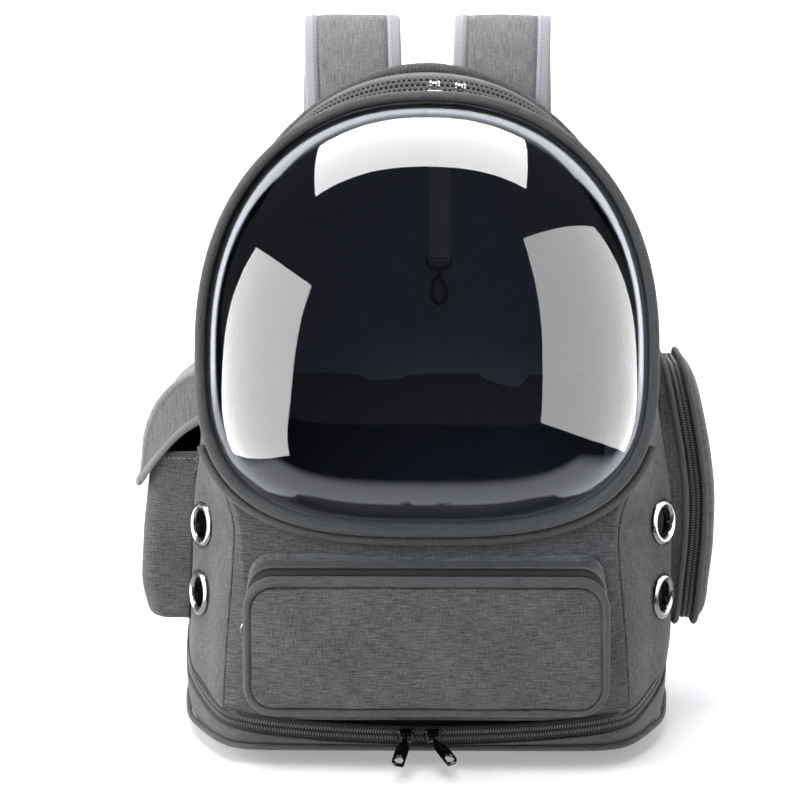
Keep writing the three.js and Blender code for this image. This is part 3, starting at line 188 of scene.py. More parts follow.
# Tether: shares of its webbing's width and thickness, and its fittings in mm from the webbing's end
TETHER_SECTION = [(0, 0.3), (0.02, 0), (0.98, 0), (1, 0.3), (1, 0.7), (0.98, 1), (0.02, 1), (0, 0.7)]
TETHER_RING = [(-8, 1), (8, 1), (8, -3), (3, -5), (-3, -5), (-8, -3)]
TETHER_HOOK = [
    (0, -4), (0, -10), (-3.5, -14), (-5, -20), (-4.6, -27),
    (0, -31), (4.6, -27), (5, -21), (3.6, -17), (0.8, -13),
]

# Top zip and mesh
TOP_ZIP_BACK = 10 * MM
TOP_ZIP_WIDTH = 10 * MM
MESH_EDGE = 6.5 * MM
MESH_DROP = 46 * MM
MESH_TRIM = 0.07  # share of the arch's width left bare at each side
MESH_PITCH = 3.2 * MM
CUSHION = 10.5 * MM  # how far the mesh is padded up from the arch
CUSHION_START = 36 * MM  # behind the window, clear of the pull tabs
CUSHION_RUN = 10 * MM  # length of its rising front, and the same along the slope
CUSHION_SLOPE = 14.5 * MM
CUSHION_FALL = (60 * MM, 80 * MM)  # it sinks again from here, over this length

# Half-widths of the bag as shares of HALF_WIDTH, by height. The columns stand at the depths in STATIONS.
WIDTHS = [
    (BODY_FOOT, (0.743, 0.82, 0.91, 0.998, 1.04, 1.02), 0),
    (0.48 * FRAME_FOOT_Z, (0.738, 0.808, 0.9, 0.982, 1.022, 1.0), 0.03),
    (0.78 * FRAME_FOOT_Z, (0.735, 0.79, 0.885, 0.976, 1.003, 0.98), 0.045),
    (FRAME_FOOT_Z, (0.735, 0.782, 0.874, 0.969, 0.985, 0.957), 0.05),
    (FRAME_FOOT_Z + 0.32 * (SPRING_HEIGHT - FRAME_FOOT_Z), (0.82, 0.84, 0.894, 0.951, 0.96, 0.942), 0.045),
    (FRAME_FOOT_Z + 0.66 * (SPRING_HEIGHT - FRAME_FOOT_Z), (0.898, 0.902, 0.912, 0.928, 0.935, 0.92), 0.025),
    (SPRING_HEIGHT, (0.918, 0.918, 0.918, 0.918, 0.916, 0.9), 0),
]
# Share of the depth, how much of the right side's fullness, and share of the arch's rise.
STATIONS = [(0, 0, 0), (0.03, 0, 0.03), (0.16, 0.6, 0.14), (0.3, 1, 0.28), (0.6, 1, 0.6), (1, 0, 1)]
# The base's plan: shares of HALF_WIDTH and of its depth.
BASE_PLAN = [
    (0.743, 0), (0.82, 0.03), (0.91, 0.152), (0.998, 0.286),
    (1.04, 0.573), (1.02, 0.954), (0.99, 0.988), (0.93, 1),
]
# The strap's middle line: shares of STRAP_REACH, and of the way from its end to its top.
STRAP_LINE = [
    (0, 0.74), (0.02, 0.85), (0.12, 0.945), (0.32, 0.995), (0.56, 0.99), (0.78, 0.92),
    (0.93, 0.77), (1, 0.52), (0.95, 0.3), (0.86, 0.12), (0.8, 0),
]
BOTTLE_LINE = [(0, 0.34), (0.08, 0.62), (0.3, 0.8), (0.65, 0.84), (1, 0.8)]
FLAP_LINE = [(0.0, 0.1), (0.03, 0.26), (0.12, 0.52), (0.3, 0.8), (0.55, 0.95), (0.8, 0.97), (1, 0.98)]

CABIN = Vector((0, 0, 0.2))  # a point inside the bag that every outer cloth faces away from


# Lines and curves


def lerp(a, b, t):
    return a + (b - a) * t


def eased_step(t):
    t = min(max(t, 0), 1)
    return t * t * (3 - 2 * t)


def eased(keys, x):
    """The height at x of a smooth line through keys that never overshoots them."""
    if x <= keys[0][0]:
        return keys[0][1]
    if x >= keys[-1][0]:
        return keys[-1][1]
    slopes = [(b[1] - a[1]) / (b[0] - a[0]) for a, b in zip(keys, keys[1:])]
    i = next(i for i in range(len(slopes)) if x <= keys[i + 1][0])

    def tangent(k):
        if k == 0:
            return slopes[0]
        if k == len(slopes):
            return slopes[-1]
        before, after = slopes[k - 1], slopes[k]
        return 0 if before * after <= 0 else 2 * before * after / (before + after)

    run = keys[i + 1][0] - keys[i][0]
    t = (x - keys[i][0]) / run
    low, high = keys[i][1], keys[i + 1][1]
    return (
        low * (1 + 2 * t) * (1 - t) ** 2
        + high * t * t * (3 - 2 * t)
        + run * t * (1 - t) * (tangent(i) * (1 - t) - tangent(i + 1) * t)
    )


def lengths_along(points, closed=False):
    """Distance from the first point to each, and right round to it again if closed."""
    ends = points[1:] + points[:1] if closed else points[1:]
    total = [0.0]
    for a, b in zip(points, ends):
        total.append(total[-1] + (b - a).length)
    return total


def evenly(points, count, closed=False):
    """count points at even distances along a line of points."""
    total = lengths_along(points, closed)
    spans = count if closed else count - 1
    found, i = [], 0
    for k in range(count):
        want = total[-1] * k / spans
        while i < len(total) - 2 and total[i + 1] < want:
            i += 1
        run = total[i + 1] - total[i]
        t = (want - total[i]) / run if run else 0
        found.append(points[i].lerp(points[(i + 1) % len(points)], t))
    return found


def through(points, count, closed=False):
    """count evenly spaced points of the centripetal curve through some points."""
    n = len(points)
    if closed:
        row = [points[-1], *points, points[0], points[1]]
    else:
        row = [2 * points[0] - points[1], *points, 2 * points[-1] - points[-2]]
    fine = []
    for i in range(n if closed else n - 1):
        p = row[i : i + 4]
        t = [0.0]
        for a, b in zip(p, p[1:]):
            t.append(t[-1] + max((b - a).length, 1e-9) ** 0.5)
        for k in range(16):
            s = lerp(t[1], t[2], k / 16)
            a = [p[j].lerp(p[j + 1], (s - t[j]) / (t[j + 1] - t[j])) for j in range(3)]
            b = [a[j].lerp(a[j + 1], (s - t[j]) / (t[j + 2] - t[j])) for j in range(2)]
            fine.append(b[0].lerp(b[1], (s - t[1]) / (t[2] - t[1])))
    if not closed:
        fine.append(points[-1])
    return evenly(fine, count, closed)


def tangents(path, closed=False):
    n = len(path)
    if closed:
        return [(path[(i + 1) % n] - path[i - 1]).normalized() for i in range(n)]
    return [(path[min(i + 1, n - 1)] - path[max(i - 1, 0)]).normalized() for i in range(n)]


def tube_rings(path, radius, sides, closed=False):
    """Round sections along a path, turned as little as the path allows."""
    along = tangents(path, closed)
    normal = along[0].orthogonal().normalized()
    normals = []
    for t in along:
        normal = (normal - t * normal.dot(t)).normalized()
        normals.append(normal.copy())
    twist = 0.0
    if closed:
        last = (normal - along[0] * normal.dot(along[0])).normalized()
        twist = math.atan2(last.cross(normals[0]).dot(along[0]), last.dot(normals[0]))
    rings = []
    for i, (p, t, n) in enumerate(zip(path, along, normals)):
        side = t.cross(n)
        turn = twist * i / len(path)
        ring = []
        for k in range(sides):
            angle = 2 * math.pi * k / sides + turn
            ring.append(p + n * (radius * math.cos(angle)) + side * (radius * math.sin(angle)))
        rings.append(ring)
    return rings


def rounded(low, high, radii, inset=0, arc=8, straight=10):
    """A rounded rectangle as a ring of (a, b), with radii for its low and its high corners."""
    corners = [
        (high[0], low[1], radii[0], -90),
        (high[0], high[1], radii[1], 0),
        (low[0], high[1], radii[1], 90),
        (low[0], low[1], radii[0], 180),
    ]
    arcs = []
    for a, b, radius, turn in corners:
        bend = max(radius - inset, 0.5 * MM)
        middle = (
            a + (-1 if a == high[0] else 1) * (inset + bend),
            b + (-1 if b == high[1] else 1) * (inset + bend),
        )
        angles = [math.radians(turn + 90 * i / arc) for i in range(arc + 1)]
        arcs.append([(middle[0] + bend * math.cos(t), middle[1] + bend * math.sin(t)) for t in angles])
    ring = []
    for i, points in enumerate(arcs):
        ring += points
        start, end = points[-1], arcs[(i + 1) % 4][0]
        for k in range(1, straight):
            t = k / straight
            ring.append((lerp(start[0], end[0], t), lerp(start[1], end[1], t)))
    return ring


# Mesh making


def turned_out(bm, inside):
    """Faces point away from a point inside, for sheets that close nothing."""
    bm.normal_update()
    away = sum(f.normal.dot(f.calc_center_median() - inside) * f.calc_area() for f in bm.faces)
    if away < 0:
        bmesh.ops.reverse_faces(bm, faces=bm.faces)


def loft(rings, around=False, along=False, capped=False, measure=None, inside=None):
    """A skin over rows of points: a grid whose corners are moved to them, closed around or along where asked.

    Its "cloth" UV is in metres of cloth, or what measure gives for a place. A sheet that closes nothing faces
    away from a point inside.
    """
    across, up = len(rings[0]), len(rings)
    columns = across if around else across - 1
    rows = up if along else up - 1
    bm = bmesh.new()
    bmesh.ops.create_grid(bm, x_segments=columns, y_segments=rows, size=0.5)
    cloth = bm.loops.layers.uv.new("cloth")
    spans = [lengths_along(ring, around) for ring in rings]
    rise = [0.0]
    skip = max(1, across // 8)
    for a, b in zip(rings, rings[1:] + rings[:1]):
        steps = [(q - p).length for p, q in zip(a[::skip], b[::skip])]
        rise.append(rise[-1] + sum(steps) / len(steps))
    places = {}
    for v in bm.verts:
        places[v] = (round((v.co.x + 0.5) * columns), round((v.co.y + 0.5) * rows))
    for v, (i, j) in places.items():
        v.co = rings[j % up][i % across]
    for face in bm.faces:
        for loop in face.loops:
            i, j = places[loop.vert]
            loop[cloth].uv = measure(loop.vert.co) if measure else (spans[j % up][i], rise[j])
    if around or along:
        bmesh.ops.remove_doubles(bm, verts=bm.verts, dist=1e-7)
    bmesh.ops.dissolve_degenerate(bm, dist=1e-7, edges=bm.edges)
    if capped:
        ends = [e for e in bm.edges if e.is_boundary]
        bmesh.ops.holes_fill(bm, edges=ends, sides=0)
    if inside is None:
        bmesh.ops.recalc_face_normals(bm, faces=bm.faces)
    else:
        turned_out(bm, inside)
    return bm


def rumpled(bm, amount, size, seed=0, keep=None):
    """Cloth that isn't quite flat: points move along their normals by smooth noise."""
    bm.normal_update()
    for v in bm.verts:
        share = keep(v.co) if keep else 1
        shift = noise.noise(v.co / size + Vector((seed, seed * 1.7, -seed)))
        v.co += v.normal * (amount * shift * share)
    return bm


def piece(name, bm, finish, stands_for=None, body="bag", thick=0.0, soft_edge=0.0):
    """A finished object from a bmesh: its cloth gets its thickness inwards, then rounded edges."""
    mesh = bpy.data.meshes.new(name)
    bm.to_mesh(mesh)
    bm.free()
    for polygon in mesh.polygons:
        polygon.use_smooth = True
    obj = bpy.data.objects.new(name, mesh)
    bpy.context.scene.collection.objects.link(obj)
    mesh.materials.append(FINISHES[finish][0])
    if thick:
        wall = obj.modifiers.new("wall", "SOLIDIFY")
        wall.thickness = thick
        wall.offset = -1
    if soft_edge:
        edge = obj.modifiers.new("edge", "BEVEL")
        edge.width = soft_edge
        edge.segments = 2
        edge.limit_method = "ANGLE"
        edge.angle_limit = math.radians(40)
    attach(obj, body)
    if stands_for:
        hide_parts(stands_for)
    return obj


def repeated(template, places):
    """One bmesh with a small shape set at many places, each a 4x4 matrix."""
    mesh = bpy.data.meshes.new("template")
    template.to_mesh(mesh)
    template.free()
    bm = bmesh.new()
    for place in places:
        mesh.transform(place)
        bm.from_mesh(mesh)
        mesh.transform(place.inverted())
    bpy.data.meshes.remove(mesh)
    return bm


def bead(along, across, height, segments=6, rings=4):
    """A small rounded grain, longest along X."""
    bm = bmesh.new()
    bmesh.ops.create_uvsphere(bm, u_segments=segments, v_segments=rings, radius=1)
    bmesh.ops.rotate(bm, cent=(0, 0, 0), matrix=Matrix.Rotation(math.pi / 2, 3, "Y"), verts=bm.verts)
    bmesh.ops.scale(bm, vec=(along, across, height), verts=bm.verts)
    return bm


def upright(at, along, out):
    """A place whose X runs along a line and whose Z points out."""
    x = along.normalized()
    z = (out - x * out.dot(x)).normalized()
    y = z.cross(x)
    return Matrix.Translation(at) @ Matrix((x, y, z)).transposed().to_4x4()


def stitched(name, path, out, finish="thread", width=0.5 * MM, closed=False):
    """A row of stitches that lie on the cloth along a path. out is a vector, or gives one for a point."""
    total = lengths_along(path, closed)[-1]
    spots = evenly(path, max(3, int(total / STITCH_PITCH)), closed)
    ways = tangents(spots, closed)
    places = [upright(p, t, out(p) if callable(out) else out) for p, t in zip(spots, ways)]
    bm = repeated(bead(STITCH_LENGTH / 2, width / 2, width / 2, 5, 3), places)
    return piece(name, bm, finish)


def coil_teeth(name, path, out, spread, closed=False, pitch=TOOTH_PITCH, length=3.3 * MM):
    """Two rows of slanted coil teeth either side of a zip's middle line."""
    total = lengths_along(path, closed)[-1]
    spots = evenly(path, max(4, int(total / pitch)), closed)
    ways = tangents(spots, closed)
    places = []
    for p, t in zip(spots, ways):
        face = (out(p) if callable(out) else out).normalized()
        side = face.cross(t).normalized()
        for sign in (-1, 1):
            lean = (side * sign + t * TOOTH_LEAN).normalized()
            places.append(upright(p + side * (sign * spread) + t * (0.25 * pitch * sign), lean, face))
    return piece(name, repeated(bead(length / 2, TOOTH[0], TOOTH[1]), places), "coil")


# Bag body as a surface


def half_width(height, depth, side):
    """Half the bag's width at a height and a share of its depth. side is -1 on its left, 1 on its right."""
    row = []
    for i, (share, full, _) in enumerate(STATIONS):
        keys = [(z, widths[i] + (more * full if side > 0 else 0)) for z, widths, more in WIDTHS]
        row.append((share, eased(keys, height)))
    return HALF_WIDTH * eased(row, depth)


def window_y(z):
    return FRAME_FOOT_Y + (FRONT_TOP_Y - FRAME_FOOT_Y) * (z - FRAME_FOOT_Z) / (FRONT_TOP - FRAME_FOOT_Z)


def front_y(z):
    return window_y(z) if z > FRAME_FOOT_Z else lerp(FRONT_FOOT_Y, FRAME_FOOT_Y, z / FRAME_FOOT_Z)


def zip_height(x, y):
    across = min(1, (x / (0.743 * HALF_WIDTH)) ** 2)
    along = min(max((y - BASE_FRONT_Y) / ZIP_RISE_RUN, 0), 1)
    return ZIP_FRONT + ZIP_CORNER_RISE * max(across, along) + ZIP_SIDE_RISE * along**ZIP_RISE_POWER


def arch_rise(depth):
    return eased([(share, rise) for share, _, rise in STATIONS], depth)


def arch_point(turn, depth, grow=0.0):
    """A point of the arched top. turn is 0 on the left spring line, 1 on the right one."""
    angle = math.pi * (1 - turn)
    rise = arch_rise(depth)
    power = lerp(*ARCH_POWER, rise)
    spring = half_width(SPRING_HEIGHT, depth, 1) + grow
    top = lerp(FRONT_TOP, BACK_TOP, rise) + grow - SPRING_HEIGHT
    across = math.copysign(abs(math.cos(angle)) ** (2 / power), math.cos(angle))
    up = max(math.sin(angle), 0) ** (2 / power)
    z = SPRING_HEIGHT + top * up
    return Vector((spring * across, lerp(front_y(z) - grow, BACK_Y, depth), z))


def side_point(z, depth, side, grow=0.0):
    return Vector((side * (half_width(z, depth, side) + grow), lerp(front_y(z) - grow, BACK_Y, depth), z))


def foot_height(depth, side):
    """Where the cloth ends on the base zip."""
    near = side_point(0.03, depth, side)
    return zip_height(near.x, near.y) + ZIP_BAND / 2 - 0.8 * MM


def seam_depth(z):
    return lerp(*CORNER_SEAM, min(z / FRAME_FOOT_Z, 1))


def even_arch(depth, count, grow=0.0):
    """Turns that put points evenly along the arch at a depth."""
    fine = [i / 240 for i in range(241)]
    points = [arch_point(t, depth, grow) for t in fine]
    total = lengths_along(points)
    keys = list(zip(total, fine))
    turns, i = [], 0
    for k in range(count):
        want = total[-1] * k / (count - 1)
        while i < len(keys) - 2 and keys[i + 1][0] < want:
            i += 1
        (a, s), (b, t) = keys[i], keys[i + 1]
        turns.append(lerp(s, t, (want - a) / (b - a)))
    return turns


# Window outline

WINDOW_COLUMNS = 192


def window_point(turn, inset):
    angle = 2 * math.pi * turn
    upper = math.sin(angle) >= 0
    power = ARCH_POWER[0] if upper else WINDOW_LOW_POWER
    reach = WINDOW_TOP - SPRING_HEIGHT if upper else SPRING_HEIGHT - FRAME_FOOT_Z

    def shaped(value):
        return math.copysign(abs(value) ** (2 / power), value)

    x = (WINDOW_HALF_WIDTH - inset) * shaped(math.cos(angle))
    z = SPRING_HEIGHT + (reach - inset) * shaped(math.sin(angle))
    return x, z


def window_turns():
    """Turns that stand evenly along the outline, counted from its right, over the top."""
    count = 1440
    points = [Vector((*window_point(i / count, 0), 0)) for i in range(count)]
    total = lengths_along(points, closed=True)
    turns, i = [], 0
    for k in range(WINDOW_COLUMNS):
        want = total[-1] * k / WINDOW_COLUMNS
        while total[i + 1] < want:
            i += 1
        turns.append((i + (want - total[i]) / (total[i + 1] - total[i])) / count)
    return turns


WINDOW_TURNS = window_turns()


def window_ring(inset, out, share=1.0):
    ring = []
    for turn in WINDOW_TURNS:
        x, z = window_point(turn, inset)
        height = lerp(SPRING_HEIGHT, z, share)
        ring.append(Vector((x * share, window_y(height) - out, height)))
    return ring


WINDOW_OUT = Vector((0, -(FRONT_TOP - FRAME_FOOT_Z), FRONT_TOP_Y - FRAME_FOOT_Y)).normalized()


# Base plan


def base_plan():
    """The base's outline as evenly spaced points, its corners softened."""
    half = [(a * HALF_WIDTH + BASE_EDGE, lerp(BASE_FRONT_Y, BASE_BACK_Y, b)) for a, b in BASE_PLAN]
    corners = [Vector((x, y, 0)) for x, y in half] + [Vector((-x, y, 0)) for x, y in reversed(half)]
    count = BASE_COLUMNS
    ring = evenly(corners + corners[:1], count + 1)[:-1]
    for _ in range(BASE_SOFTENING):
        ring = [(ring[i - 1] + ring[i] * 2 + ring[(i + 1) % count]) / 4 for i in range(count)]
    return ring


BASE_RING = base_plan()
BASE_SIDEWAYS = [Vector((t.y, -t.x, 0)) for t in tangents(BASE_RING, closed=True)]


def base_ring(inset, height):
    """The base's outline drawn in. height is a number, or gives one for a place."""
    ring = []
    for p, out in zip(BASE_RING, BASE_SIDEWAYS):
        q = p - out * inset
        ring.append(Vector((q.x, q.y, height(p.x, p.y) if callable(height) else height)))
    return ring


def base_out(p):
    nearest = min(range(0, BASE_COLUMNS, 4), key=lambda i: (BASE_RING[i].xy - p.xy).length_squared)
    return BASE_SIDEWAYS[nearest]


# Camera: the photograph's view, fitted to the base's corners, the arch and the pockets

camera_data = bpy.data.cameras.new("camera")
camera_data.lens = 112.5
camera_data.sensor_width = 36
camera = bpy.data.objects.new("camera", camera_data)
bpy.context.scene.collection.objects.link(camera)
bpy.context.scene.camera = camera
CAMERA_AT = Vector((0, -1.6956, 0.5116))
CAMERA_TO = Vector((-0.0171, -0.12, 0.23375))
camera.location = CAMERA_AT
camera.rotation_euler = (CAMERA_TO - CAMERA_AT).to_track_quat("-Z", "Y").to_euler()


# Finishes


def tone(red, green=None, blue=None):
    """A colour from its levels out of 255 on a screen."""
    levels = (red, red if green is None else green, red if blue is None else blue)
    return (*(((v / 255 + 0.055) / 1.055) ** 2.4 if v > 10 else v / 3294 for v in levels), 1)


class Nodes:
    """Short words for wiring one node tree."""

    def __init__(self, tree):
        self.tree = tree

    def add(self, kind, inputs=None, **settings):
        node = self.tree.nodes.new(kind)
        for name, value in settings.items():
            setattr(node, name, value)
        for name, value in (inputs or {}).items():
            socket = node.inputs[name]
            if isinstance(value, bpy.types.NodeSocket):
                self.tree.links.new(value, socket)
            else:
                socket.default_value = value
        return node

    def math(self, operation, a, b=0.0):
        return self.add("ShaderNodeMath", {0: a, 1: b}, operation=operation).outputs[0]

    def mix(self, share, a, b):
        node = self.add("ShaderNodeMix", {0: share, 6: a, 7: b}, data_type="RGBA")
        return node.outputs[2]

    def noise(self, vector, scale, detail=2.0, roughness=0.5):
        values = {"Vector": vector, "Scale": scale, "Detail": detail, "Roughness": roughness}
        return self.add("ShaderNodeTexNoise", values).outputs["Fac"]

    def stretched(self, vector, x, y, z=1.0):
        return self.add("ShaderNodeVectorMath", {0: vector, 1: (x, y, z)}, operation="MULTIPLY").outputs[0]


def group(name, inputs, outputs):
    """A shader node group with named sockets, and the words to wire it."""
    tree = bpy.data.node_groups.new(name, "ShaderNodeTree")
    for label, kind, value in inputs:
        socket = tree.interface.new_socket(label, in_out="INPUT", socket_type=kind)
        if value is not None:
            socket.default_value = value
    for label, kind in outputs:
        tree.interface.new_socket(label, in_out="OUTPUT", socket_type=kind)
    nodes = Nodes(tree)
    return nodes, nodes.add("NodeGroupInput"), nodes.add("NodeGroupOutput")


def heather_group():
    """Two-tone yarn: long flecks along the weft, shorter ones along the warp, and the weave's own relief."""
    n, given, result = group(
        "heather weave",
        [
            ("Cloth", "NodeSocketVector", None),
            ("Light", "NodeSocketColor", None),
            ("Dark", "NodeSocketColor", None),
            ("Thread", "NodeSocketFloat", 0.6 * MM),
            ("Fleck", "NodeSocketFloat", 1.0),
        ],
        [("Color", "NodeSocketColor"), ("Height", "NodeSocketFloat"), ("Roughness", "NodeSocketFloat")],
    )
    cloth = given.outputs["Cloth"]
    count = n.math("DIVIDE", 1.0, given.outputs["Thread"])
    threads = n.add("ShaderNodeVectorMath", {0: cloth, "Scale": count}, operation="SCALE").outputs[0]
    weft = n.noise(n.stretched(threads, 0.06, 0.85), 1.0, 2.0)
    warp = n.noise(n.stretched(threads, 0.8, 0.09), 1.0, 1.0)
    grain = n.noise(threads, 0.55, 1.0)
    drift = n.noise(cloth, 22.0, 2.0)
    blend = n.math("ADD", n.math("MULTIPLY", weft, 0.5), n.math("MULTIPLY", warp, 0.22))
    blend = n.math("ADD", blend, n.math("MULTIPLY", grain, 0.28))
    centred = n.math("SUBTRACT", blend, 0.5)
    fleck = n.math("MULTIPLY", centred, n.math("MULTIPLY", given.outputs["Fleck"], 3.6))
    fleck = n.math("ADD", fleck, n.math("MULTIPLY", n.math("SUBTRACT", drift, 0.5), 0.5))
    share = n.add("ShaderNodeClamp", {0: n.math("ADD", fleck, 0.5)}).outputs[0]
    colour = n.mix(share, given.outputs["Dark"], given.outputs["Light"])
    parts = n.add("ShaderNodeSeparateXYZ", {0: threads})
    over = n.math("SINE", n.math("MULTIPLY", parts.outputs[0], math.pi))
    under = n.math("SINE", n.math("MULTIPLY", parts.outputs[1], math.pi))
    weave = n.math("MULTIPLY", over, under)
    height = n.math("ADD", n.math("MULTIPLY", weave, 0.35), n.math("MULTIPLY", blend, 1.3))
    rough = n.add("ShaderNodeMapRange", {0: share, 3: 0.95, 4: 0.82}).outputs[0]
    n.tree.links.new(colour, result.inputs["Color"])
    n.tree.links.new(height, result.inputs["Height"])
    n.tree.links.new(rough, result.inputs["Roughness"])
    return n.tree


def rib_group():
    """Ribs across a tape or webbing, with a little of the yarn's unevenness. The colour darkens where the
    relief is low: painted shade in the grooves between ribs.
    """
    n, given, result = group(
        "woven ribs with painted groove shade",
        [
            ("Cloth", "NodeSocketVector", None),
            ("Light", "NodeSocketColor", None),
            ("Dark", "NodeSocketColor", None),
            ("Rib", "NodeSocketFloat", 1.2 * MM),
            ("Slant", "NodeSocketFloat", 0.0),
        ],
        [("Color", "NodeSocketColor"), ("Height", "NodeSocketFloat"), ("Roughness", "NodeSocketFloat")],
    )
    parts = n.add("ShaderNodeSeparateXYZ", {0: given.outputs["Cloth"]})
    run = n.math("ADD", parts.outputs[0], n.math("MULTIPLY", parts.outputs[1], given.outputs["Slant"]))
    wave = n.math("SINE", n.math("MULTIPLY", n.math("DIVIDE", run, given.outputs["Rib"]), 2 * math.pi))
    grain = n.noise(given.outputs["Cloth"], 900.0, 2.0)
    height = n.math("ADD", n.math("MULTIPLY", wave, 0.5), n.math("MULTIPLY", grain, 0.6))
    # The colour follows the relief: painted shade darkens the grooves between ribs, and the grain adds the
    # yarn's own uneven tone.
    share = n.add("ShaderNodeClamp", {0: n.math("ADD", n.math("MULTIPLY", height, 0.5), 0.35)}).outputs[0]
    n.tree.links.new(n.mix(share, given.outputs["Dark"], given.outputs["Light"]), result.inputs["Color"])
    n.tree.links.new(height, result.inputs["Height"])
    rough = n.add("ShaderNodeMapRange", {0: share, 3: 0.9, 4: 0.75}).outputs[0]
    n.tree.links.new(rough, result.inputs["Roughness"])
    return n.tree


def handled_group():
    """Fine scratches and finger marks on hard, shiny pieces, as a roughness and a small relief."""
    n, given, result = group(
        "handled surface",
        [
            ("Place", "NodeSocketVector", None),
            ("Smooth", "NodeSocketFloat", 0.1),
            ("Worn", "NodeSocketFloat", 0.3),
            ("Size", "NodeSocketFloat", 200.0),
        ],
        [("Roughness", "NodeSocketFloat"), ("Height", "NodeSocketFloat")],
    )
    cloud = n.noise(given.outputs["Place"], given.outputs["Size"], 3.0)
    scratch = n.noise(n.stretched(given.outputs["Place"], 6.0, 1.0, 0.4), given.outputs["Size"], 4.0, 0.7)
    both = n.math("MULTIPLY", cloud, scratch)
    ends = {3: given.outputs["Smooth"], 4: given.outputs["Worn"]}
    rough = n.add("ShaderNodeMapRange", {0: both, 1: 0.15, 2: 0.45, **ends})
    n.tree.links.new(rough.outputs[0], result.inputs["Roughness"])
    n.tree.links.new(both, result.inputs["Height"])
    return n.tree


HEATHER = heather_group()
RIBS = rib_group()
HANDLED = handled_group()


def blank(name):
    material = bpy.data.materials.new(name)
    material.use_nodes = True
    n = Nodes(material.node_tree)
    shader = material.node_tree.nodes["Principled BSDF"]
    return material, n, shader


def bumped(n, shader, height, distance, strength=1.0):
    bump = n.add("ShaderNodeBump", {"Height": height, "Distance": distance, "Strength": strength})
    n.tree.links.new(bump.outputs[0], shader.inputs["Normal"])


def woven(name, tree, light, dark, pitch, relief, sheen=0.15, turned=False, **values):
    """Cloth whose pattern follows the piece's own cloth measure."""
    material, n, shader = blank(name)
    measure = n.add("ShaderNodeUVMap", uv_map="cloth").outputs[0]
    if turned:
        turn = n.add("ShaderNodeMapping", {"Vector": measure, "Rotation": (0, 0, math.pi / 2)})
        measure = turn.outputs[0]
    cloth = n.add("ShaderNodeGroup", node_tree=tree)
    n.tree.links.new(measure, cloth.inputs["Cloth"])
    cloth.inputs["Light"].default_value = light
    cloth.inputs["Dark"].default_value = dark
    cloth.inputs["Thread" if tree == HEATHER else "Rib"].default_value = pitch
    for label, value in values.items():
        cloth.inputs[label].default_value = value
    n.tree.links.new(cloth.outputs["Color"], shader.inputs["Base Color"])
    n.tree.links.new(cloth.outputs["Roughness"], shader.inputs["Roughness"])
    shader.inputs["Sheen Weight"].default_value = sheen
    shader.inputs["Sheen Roughness"].default_value = 0.5
    shader.inputs["Specular IOR Level"].default_value = 0.25
    bumped(n, shader, cloth.outputs["Height"], relief)
    return material


def hard(name, colour, metallic, smooth, worn, coat=0.0, size=200.0, relief=0.02 * MM):
    """Metal or moulded plastic with handling marks."""
    material, n, shader = blank(name)
    place = n.add("ShaderNodeTexCoord").outputs["Object"]
    marks = n.add("ShaderNodeGroup", node_tree=HANDLED)
    n.tree.links.new(place, marks.inputs["Place"])
    marks.inputs["Smooth"].default_value = smooth
    marks.inputs["Worn"].default_value = worn
    marks.inputs["Size"].default_value = size
    shade = n.mix(n.noise(place, size * 0.5), colour, tuple(c * 0.8 for c in colour[:3]) + (1,))
    n.tree.links.new(shade, shader.inputs["Base Color"])
    n.tree.links.new(marks.outputs["Roughness"], shader.inputs["Roughness"])
    shader.inputs["Metallic"].default_value = metallic
    shader.inputs["Coat Weight"].default_value = coat
    shader.inputs["Coat Roughness"].default_value = 0.08
    bumped(n, shader, marks.outputs["Height"], relief)
    return material


def smoked_plastic():
    """Clear plastic with a grey tint. Lamps light what is behind it."""
    material, n, shader = blank("smoked clear plastic")
    shader.inputs["Base Color"].default_value = (0.8, 0.84, 0.91, 1)
    shader.inputs["Transmission Weight"].default_value = 1.0
    shader.inputs["IOR"].default_value = 1.49
    place = n.add("ShaderNodeTexCoord").outputs["Object"]
    marks = n.add("ShaderNodeGroup", node_tree=HANDLED)
    n.tree.links.new(place, marks.inputs["Place"])
    marks.inputs["Smooth"].default_value = 0.01
    marks.inputs["Worn"].default_value = 0.06
    marks.inputs["Size"].default_value = 60.0
    n.tree.links.new(marks.outputs["Roughness"], shader.inputs["Roughness"])
    bumped(n, shader, n.noise(place, 14.0, 1.0), 0.5 * MM, 0.5)
    clear = n.add("ShaderNodeBsdfTransparent", {"Color": (0.9, 0.93, 0.97, 1)})
    path = n.add("ShaderNodeLightPath")
    ways = {0: path.outputs["Is Shadow Ray"], 1: shader.outputs[0], 2: clear.outputs[0]}
    both = n.add("ShaderNodeMixShader", ways)
    output = material.node_tree.nodes["Material Output"]
    n.tree.links.new(both.outputs[0], output.inputs["Surface"])
    return material


